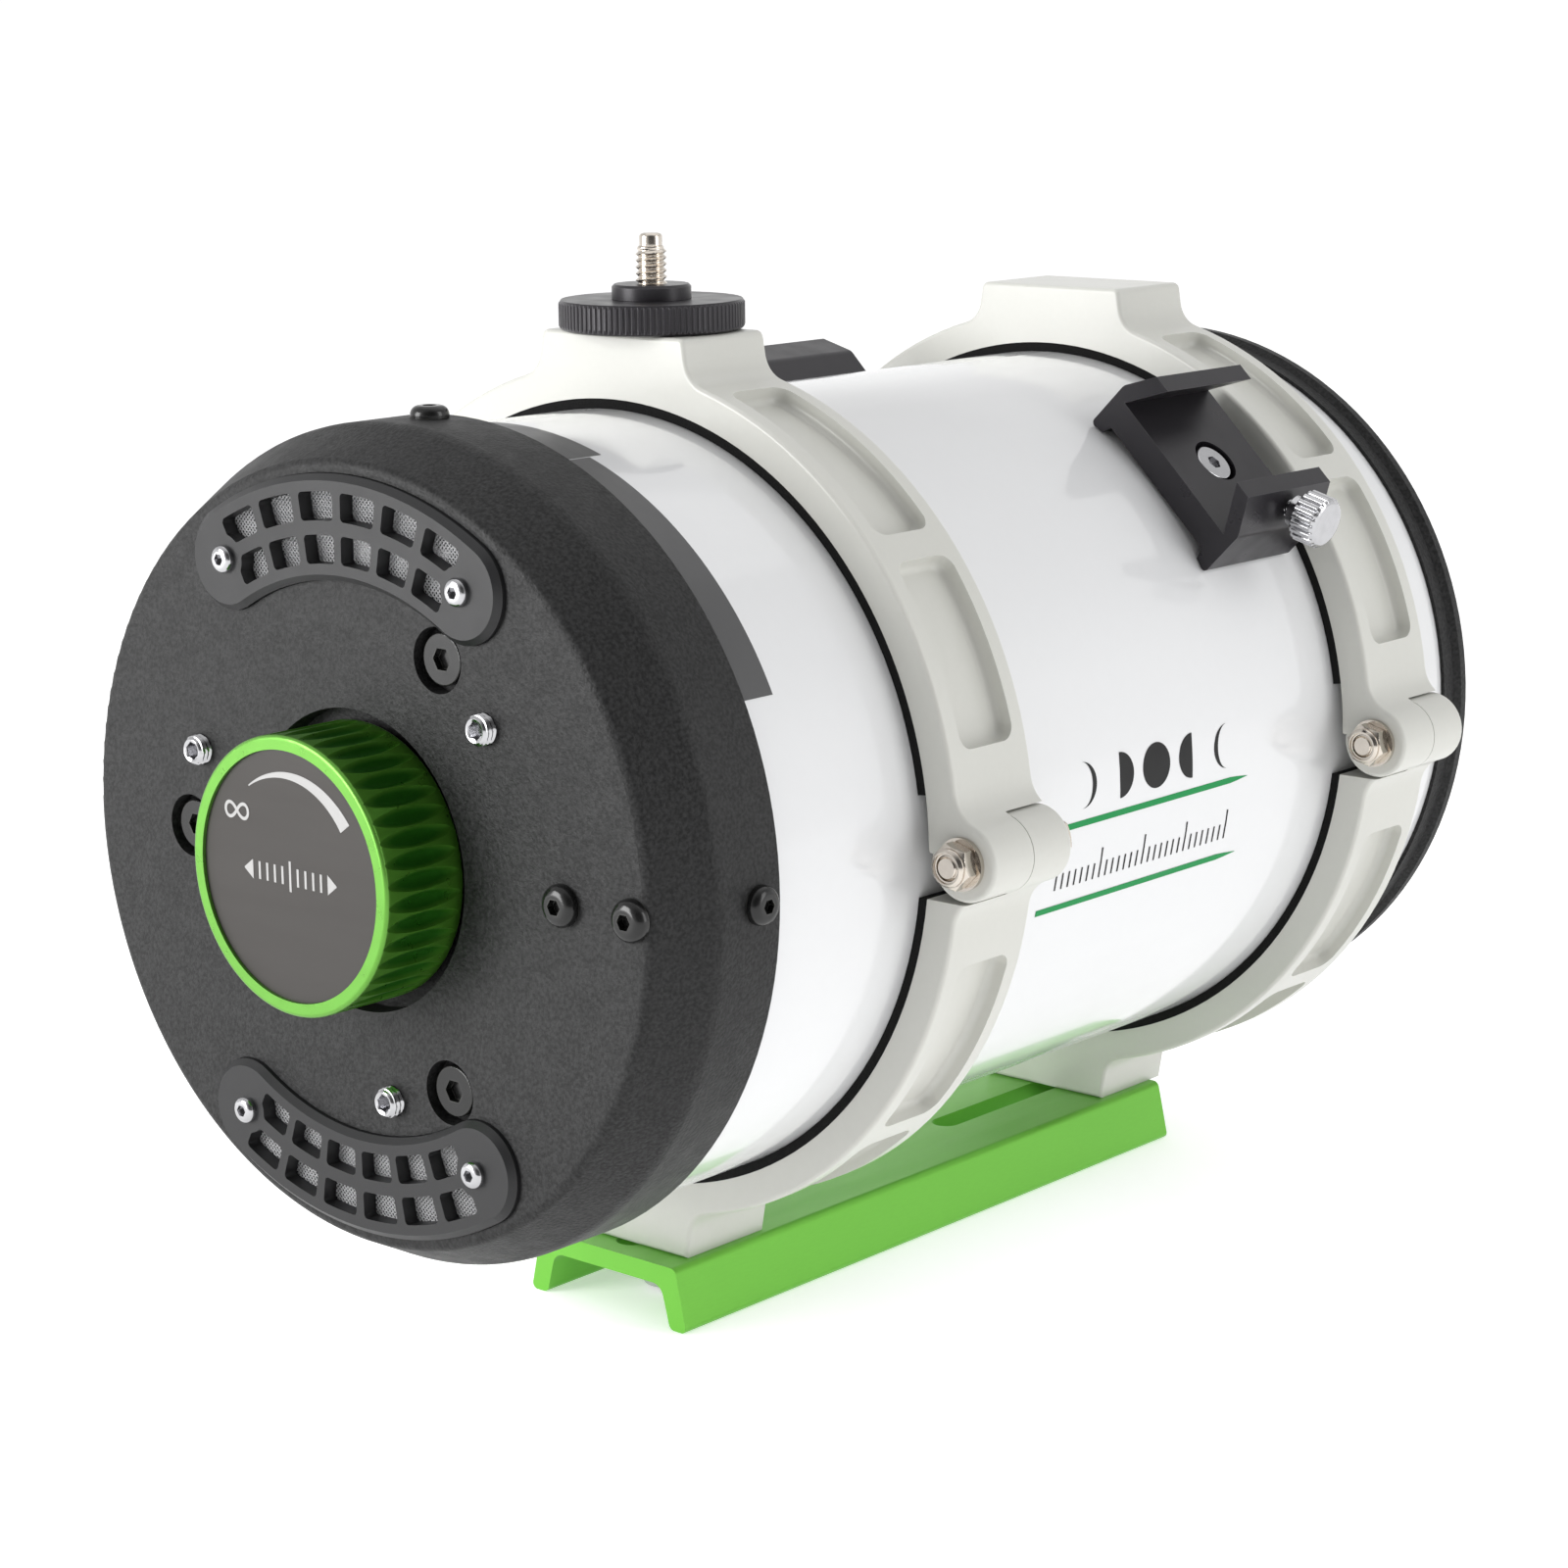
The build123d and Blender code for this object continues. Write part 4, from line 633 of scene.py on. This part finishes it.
def in_vent(x, z, turned_over):
    """True inside the vent's curved slot and clear of its screws. x, z from the optical axis."""
    if turned_over:
        z = -z
    angle = math.atan2(x, z)
    ends = [Vector((VENT_R * math.sin(side), VENT_R * math.cos(side)))
            for side in (-VENT_HALF_ANGLE, VENT_HALF_ANGLE)]
    point = Vector((x, z))
    if any((point - end).length < VENT_SCREW_HOLE for end in ends):
        return False
    if abs(angle) <= VENT_HALF_ANGLE:
        return abs(point.length - VENT_R) < VENT_WIDTH / 2
    return any((point - end).length < VENT_WIDTH / 2 for end in ends)


def wire_tube(line):
    """Four-sided wire along a line of points, closed at both ends."""
    points, faces = [], []
    for index, point in enumerate(line):
        ahead = line[min(index + 1, len(line) - 1)] - line[max(index - 1, 0)]
        side = ahead.cross(Vector((0, 1, 0))).normalized()
        up = side.cross(ahead).normalized()
        for across, lift in ((1, 0), (0, 1), (-1, 0), (0, -1)):
            points.append(point + (side * across + up * lift) * WIRE_R)
    for index in range(len(line) - 1):
        first = 4 * index
        for corner in range(4):
            after = (corner + 1) % 4
            faces.append([first + corner, first + after, first + 4 + after, first + 4 + corner])
    last = 4 * (len(line) - 1)
    faces.append([3, 2, 1, 0])
    faces.append([last, last + 1, last + 2, last + 3])
    return points, faces


def make_vent_mesh(place, turned_over):
    """Plain-weave wire cloth, laid at 45 degrees and cut to the vent's shape."""
    node = f"vent_mesh_{place}"
    low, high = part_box(node)
    middle_y = (low.y + high.y) / 2
    reach = VENT_R + VENT_WIDTH
    count = int(reach / WEAVE_PITCH) + 1
    diagonal = math.sqrt(0.5)
    wires = []
    for family in (0, 1):
        for index in range(-count, count + 1):
            line = []
            for step in range(-count, count + 2):
                a, b = (index, step) if family == 0 else (step, index)
                x = (a - b) * WEAVE_PITCH * diagonal
                z = (a + b) * WEAVE_PITCH * diagonal
                over = (a + b + family) % 2
                if step <= count and in_vent(x, z, turned_over):
                    line.append(Vector((x, middle_y + (over * 2 - 1) * WEAVE_LIFT, AXIS_Z + z)))
                    continue
                if len(line) > 1:
                    wires.append(wire_tube(line))
                line = []
    shape = joined(*wires)
    piece = mesh_piece(f"woven_{node}", *shape, WIRE, "optical_tube", "wire_mesh", math.radians(60))
    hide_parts(node)


# ---- printed marks and labels --------------------------------------------------------
INK = 0.04 * MM
TUBE_INK_R = TUBE_R + 0.03 * MM


def on_tube(along, arc, lift=0.0):
    """Point on the tube: along the axis, and round it by arc metres from +X towards +Z."""
    radius = TUBE_INK_R + lift
    angle = arc / TUBE_R
    return Vector((radius * math.cos(angle), along, AXIS_Z + radius * math.sin(angle)))


def on_plate(right, up, lift=0.0):
    """Point on the knob's face plate, seen from behind the telescope."""
    return Vector((right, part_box("knob_plate")[0].y - 0.02 * MM - lift, AXIS_Z + up))


def band(first, second, columns, place, closed=False, lift=None):
    """Thin solid sheet of ink between two edges of equally many 2-D points."""
    rows = len(first)
    lifts = lift if lift is not None else [0.0] * rows
    points, faces = [], []
    for level in (0.0, INK):
        for (u0, v0), (u1, v1), raised in zip(first, second, lifts):
            for column in range(columns + 1):
                t = column / columns
                points.append(place(u0 + (u1 - u0) * t, v0 + (v1 - v0) * t, level + raised))
    width = columns + 1
    layer = rows * width
    row_pairs = [(row, row + 1) for row in range(rows - 1)]
    if closed:
        row_pairs.append((rows - 1, 0))
    for row, after in row_pairs:
        for column in range(columns):
            a, b = row * width + column, after * width + column
            faces.append([a, a + 1, b + 1, b])
            faces.append([layer + b, layer + b + 1, layer + a + 1, layer + a])
        for column, flip in ((0, False), (columns, True)):
            a, b = row * width + column, after * width + column
            side = [a, b, layer + b, layer + a]
            faces.append(side[::-1] if flip else side)
    if not closed:
        for row, flip in ((0, True), (rows - 1, False)):
            for column in range(columns):
                a = row * width + column
                side = [a, a + 1, layer + a + 1, layer + a]
                faces.append(side[::-1] if flip else side)
    return points, faces


def moon(along, arc, radius, lit):
    """Moon phase as ink between its limb and its terminator. lit runs from -1 to 1."""
    count = 25
    limb, terminator = [], []
    for index in range(count):
        turn = math.pi * (index / (count - 1) - 0.5)
        side = 1 if lit >= 0 else -1
        edge = radius * math.cos(turn)
        inner = edge * (1 - 2 * abs(lit))
        height = arc + radius * math.sin(turn)
        limb.append((along + side * edge, height))
        terminator.append((along + side * inner, height))
    return band(limb, terminator, 6, on_tube)


def stripe(y_start, y_end, angle, height, taper):
    """Long thin stripe whose front end tapers to a point."""
    arc = math.radians(angle) * TUBE_R
    lengths = [0.0, 0.2, 0.4, 0.6, 0.8, 0.9, 0.94, 0.97, 0.99, 1.0]
    top, bottom = [], []
    for share in lengths:
        along = y_start + (y_end - y_start) * share
        half = height / 2 * min(1.0, (1.0 - share) / taper + 0.02)
        top.append((along, arc + half))
        bottom.append((along, arc - half))
    return band(top, bottom, 2, on_tube)


def make_tube_marks():
    """Plain stripes, a row of moon phases and a fine scale on the tube's right side."""
    upper = stripe(-33 * MM, 31.1 * MM, -2.6, 1.3 * MM, 0.09)
    lower = stripe(-38.9 * MM, 30.6 * MM, -15.0, 1.3 * MM, 0.09)
    mesh_piece("tube_stripes", *joined(upper, lower), PRINT_GREEN, "optical_tube", "tube_white")

    phases = (0.14, 0.5, 1.0, -0.5, -0.14)
    radius = 4.7 * MM
    arc = math.radians(3.0) * TUBE_R
    moons = [moon((-27 + 12.6 * index) * MM, arc, radius, lit) for index, lit in enumerate(phases)]
    mesh_piece("tube_moon_phases", *joined(*moons), PRINT_BLACK, "optical_tube", "tube_white")

    ticks = []
    base = math.radians(-12.0) * TUBE_R
    for index in range(29):
        along = (-34 + 2.1 * index) * MM
        height = (6.4 if index % 7 == 0 else 3.4) * MM
        half = 0.22 * MM
        left = [(along - half, base + height * share) for share in (0, 0.5, 1)]
        right = [(u + 2 * half, v) for u, v in left]
        ticks.append(band(left, right, 1, on_tube))
    mesh_piece("tube_fine_scale", *joined(*ticks), PRINT_BLACK, "optical_tube", "tube_white")


LABELS = ((26, 71, 10.6), (71.3, 97, 14.0))     # start and end in degrees, width in mm


def make_labels():
    """Two blank vinyl labels behind the rear ring, edged by the rear cell's rim."""
    rim_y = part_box("rear_cell")[1].y
    shapes = []
    for start, end, depth in LABELS:
        steps = int(end - start)
        arcs = [math.radians(start + (end - start) * i / steps) * TUBE_R for i in range(steps + 1)]
        near = [(rim_y + 0.05 * MM, arc) for arc in arcs]
        far = [(rim_y + depth * MM, arc) for arc in arcs]
        shapes.append(band(near, far, 2, on_tube))
    mesh_piece("blank_labels", *joined(*shapes), VINYL, "optical_tube", "cell_black")


def make_knob_marks():
    """Tapered arc, endless-distance sign and turn scale printed on the knob's plate."""
    shapes = []
    count = 41
    outer, inner = [], []
    for index in range(count):
        share = index / (count - 1)
        angle = math.radians(124 - 88 * share)
        half = (0.12 + 1.35 * share) * MM
        radius = 19.0 * MM
        outer.append(((radius + half) * math.cos(angle), (radius + half) * math.sin(angle)))
        inner.append(((radius - half) * math.cos(angle), (radius - half) * math.sin(angle)))
    shapes.append(band(outer, inner, 2, on_plate))

    centre = (-14.2 * MM, 10.6 * MM)
    loop, steps, half = 3.1 * MM, 72, 0.32 * MM
    left, right, lifts = [], [], []
    for index in range(steps):
        t = 2 * math.pi * index / steps
        scale = loop / (1 + math.sin(t) ** 2)
        after = t + 0.01
        scale_after = loop / (1 + math.sin(after) ** 2)
        here = Vector((scale * math.cos(t), 1.25 * scale * math.sin(t) * math.cos(t)))
        ahead = Vector((scale_after * math.cos(after),
                        1.25 * scale_after * math.sin(after) * math.cos(after)))
        way = (ahead - here).normalized()
        normal = Vector((-way.y, way.x)) * half
        left.append((centre[0] + here.x + normal.x, centre[1] + here.y + normal.y))
        right.append((centre[0] + here.x - normal.x, centre[1] + here.y - normal.y))
        lifts.append(0.01 * MM * (1 + math.sin(t)))
    shapes.append(band(left, right, 1, on_plate, closed=True, lift=lifts))

    for index in range(-4, 5):
        middle = 2.1 * index * MM
        half = 0.28 * MM
        height = (2.9 if index == 0 else 1.7) * MM
        near = [(middle - half, -height), (middle - half, height)]
        far = [(u + 2 * half, v) for u, v in near]
        shapes.append(band(near, far, 1, on_plate))
    for side in (-1, 1):
        tip, back = side * 12.6 * MM, side * 10.2 * MM
        wide = [(back, -1.9 * MM), (tip, -0.1 * MM)]
        other = [(back, 1.9 * MM), (tip, 0.1 * MM)]
        shapes.append(band(wide, other, 1, on_plate))
    mesh_piece("knob_plate_marks", *joined(*shapes), PRINT_GREY, "focus_drive", "knob_plate_grey")


# ---- stage, lights and camera --------------------------------------------------------
FLOOR_R = 90.0            # so far out that its edge lies on the horizon
FLOOR_GLOW = 0.42         # light of its own, which keeps the paper white


def make_stage():
    """Plain white floor that the bar stands on, reaching to the horizon."""
    count = 96
    angles = [2 * math.pi * i / count for i in range(count)]
    ring = [(FLOOR_R * math.cos(angle), FLOOR_R * math.sin(angle), 0.0) for angle in angles]
    mesh = bpy.data.meshes.new("floor")
    mesh.from_pydata(ring, [], [list(range(count))])
    made, tree, shader = new_material("floor_paper", (0.93, 0.93, 0.93), 0.9, 0.0, {
        "Specular IOR Level": 0.1, "Emission Color": (1, 1, 1, 1), "Emission Strength": FLOOR_GLOW})
    tone = mixed(tree, noise(tree, places(tree), 0.4, 2.0), (0.92, 0.92, 0.92), (0.94, 0.94, 0.94))
    tree.links.new(tone, shader.inputs["Base Color"])
    mesh.materials.append(made)
    floor = bpy.data.objects.new("floor", mesh)
    floor.location.z = cad_low.z - 0.05 * MM
    bpy.context.scene.collection.objects.link(floor)


def area_light(name, place, target, width, height, power, colour=(1, 1, 1)):
    """Soft box aimed at a point."""
    data = bpy.data.lights.new(name, "AREA")
    data.shape = "RECTANGLE"
    data.size, data.size_y = width, height
    data.energy = power
    data.color = colour
    light = bpy.data.objects.new(name, data)
    light.location = place
    light.rotation_mode = "QUATERNION"
    light.rotation_quaternion = (Vector(target) - Vector(place)).to_track_quat("-Z", "Y")
    bpy.context.scene.collection.objects.link(light)


STUDIO = 0.74             # brightness of the pale surroundings
HORIZON = 1.03            # and near the horizon, as white as the floor
FLAG = 0.13               # share of it left in the dark part behind the viewer
FLAG_WAY = Vector((0.72, -0.62, 0.30)).normalized()


def make_lights():
    """Pale surroundings with a dark part behind the viewer, and three soft boxes."""
    world = bpy.data.worlds.new("studio")
    world.use_nodes = True
    tree = world.node_tree
    background = tree.nodes["Background"]
    source = tree.nodes.new("ShaderNodeTexCoord")
    dot = tree.nodes.new("ShaderNodeVectorMath")
    dot.operation = "DOT_PRODUCT"
    dot.inputs[1].default_value = FLAG_WAY
    tree.links.new(source.outputs["Generated"], dot.inputs[0])
    split = tree.nodes.new("ShaderNodeSeparateXYZ")
    tree.links.new(source.outputs["Generated"], split.inputs[0])
    pale = remap(tree, split.outputs["Z"], 0.22, 0.45, HORIZON, STUDIO)
    share = remap(tree, dot.outputs["Value"], 0.55, 0.92, 1, FLAG)
    tree.links.new(calculate(tree, "MULTIPLY", pale, share), background.inputs["Strength"])
    background.inputs["Color"].default_value = (1, 1, 1, 1)
    bpy.context.scene.world = world
    middle = (0, 0, AXIS_Z)
    area_light("top_box", (-0.1, 0.3, 1.1), middle, 1.1, 1.0, 1.4)
    area_light("left_box", (-0.65, -1.25, 0.45), middle, 0.7, 0.9, 17.0)
    area_light("right_box", (1.2, 0.35, 0.55), middle, 0.5, 1.0, 4.0)


CAMERA_PLACE = Vector((0.4993, -0.6007, 0.2674))
CAMERA_WAY = Vector((-0.6417, 0.7367, -0.2131)).normalized()
CAMERA_UPRIGHT = Vector((0.0113, 0, 1))     # leans a little, as the photo does
CAMERA_LENS = 84.32                         # mm, with a sensor 36 mm wide


def make_camera():
    """Camera behind, above and to the right of the telescope."""
    data = bpy.data.cameras.new("camera")
    data.sensor_width = 36.0
    data.lens = CAMERA_LENS
    data.clip_start = 0.01
    camera = bpy.data.objects.new("camera", data)
    right = CAMERA_WAY.cross(CAMERA_UPRIGHT).normalized()
    up = right.cross(CAMERA_WAY)
    turn = Matrix((right, up, -CAMERA_WAY)).transposed().to_4x4()
    camera.matrix_world = Matrix.Translation(CAMERA_PLACE) @ turn
    bpy.context.scene.collection.objects.link(camera)
    bpy.context.scene.camera = camera


make_camera()
make_stage()
make_lights()
dress_cad_nodes()
make_camera_stud()
make_hinge_nuts()
make_hinge_bolts()
make_push_screws()
make_finder_thumbscrews()
make_clamp_screws()
make_port_thread()
make_vent_mesh("top", False)
make_vent_mesh("bottom", True)
make_tube_marks()
make_labels()
make_knob_marks()
bpy.context.scene.view_settings.view_transform = "Standard"
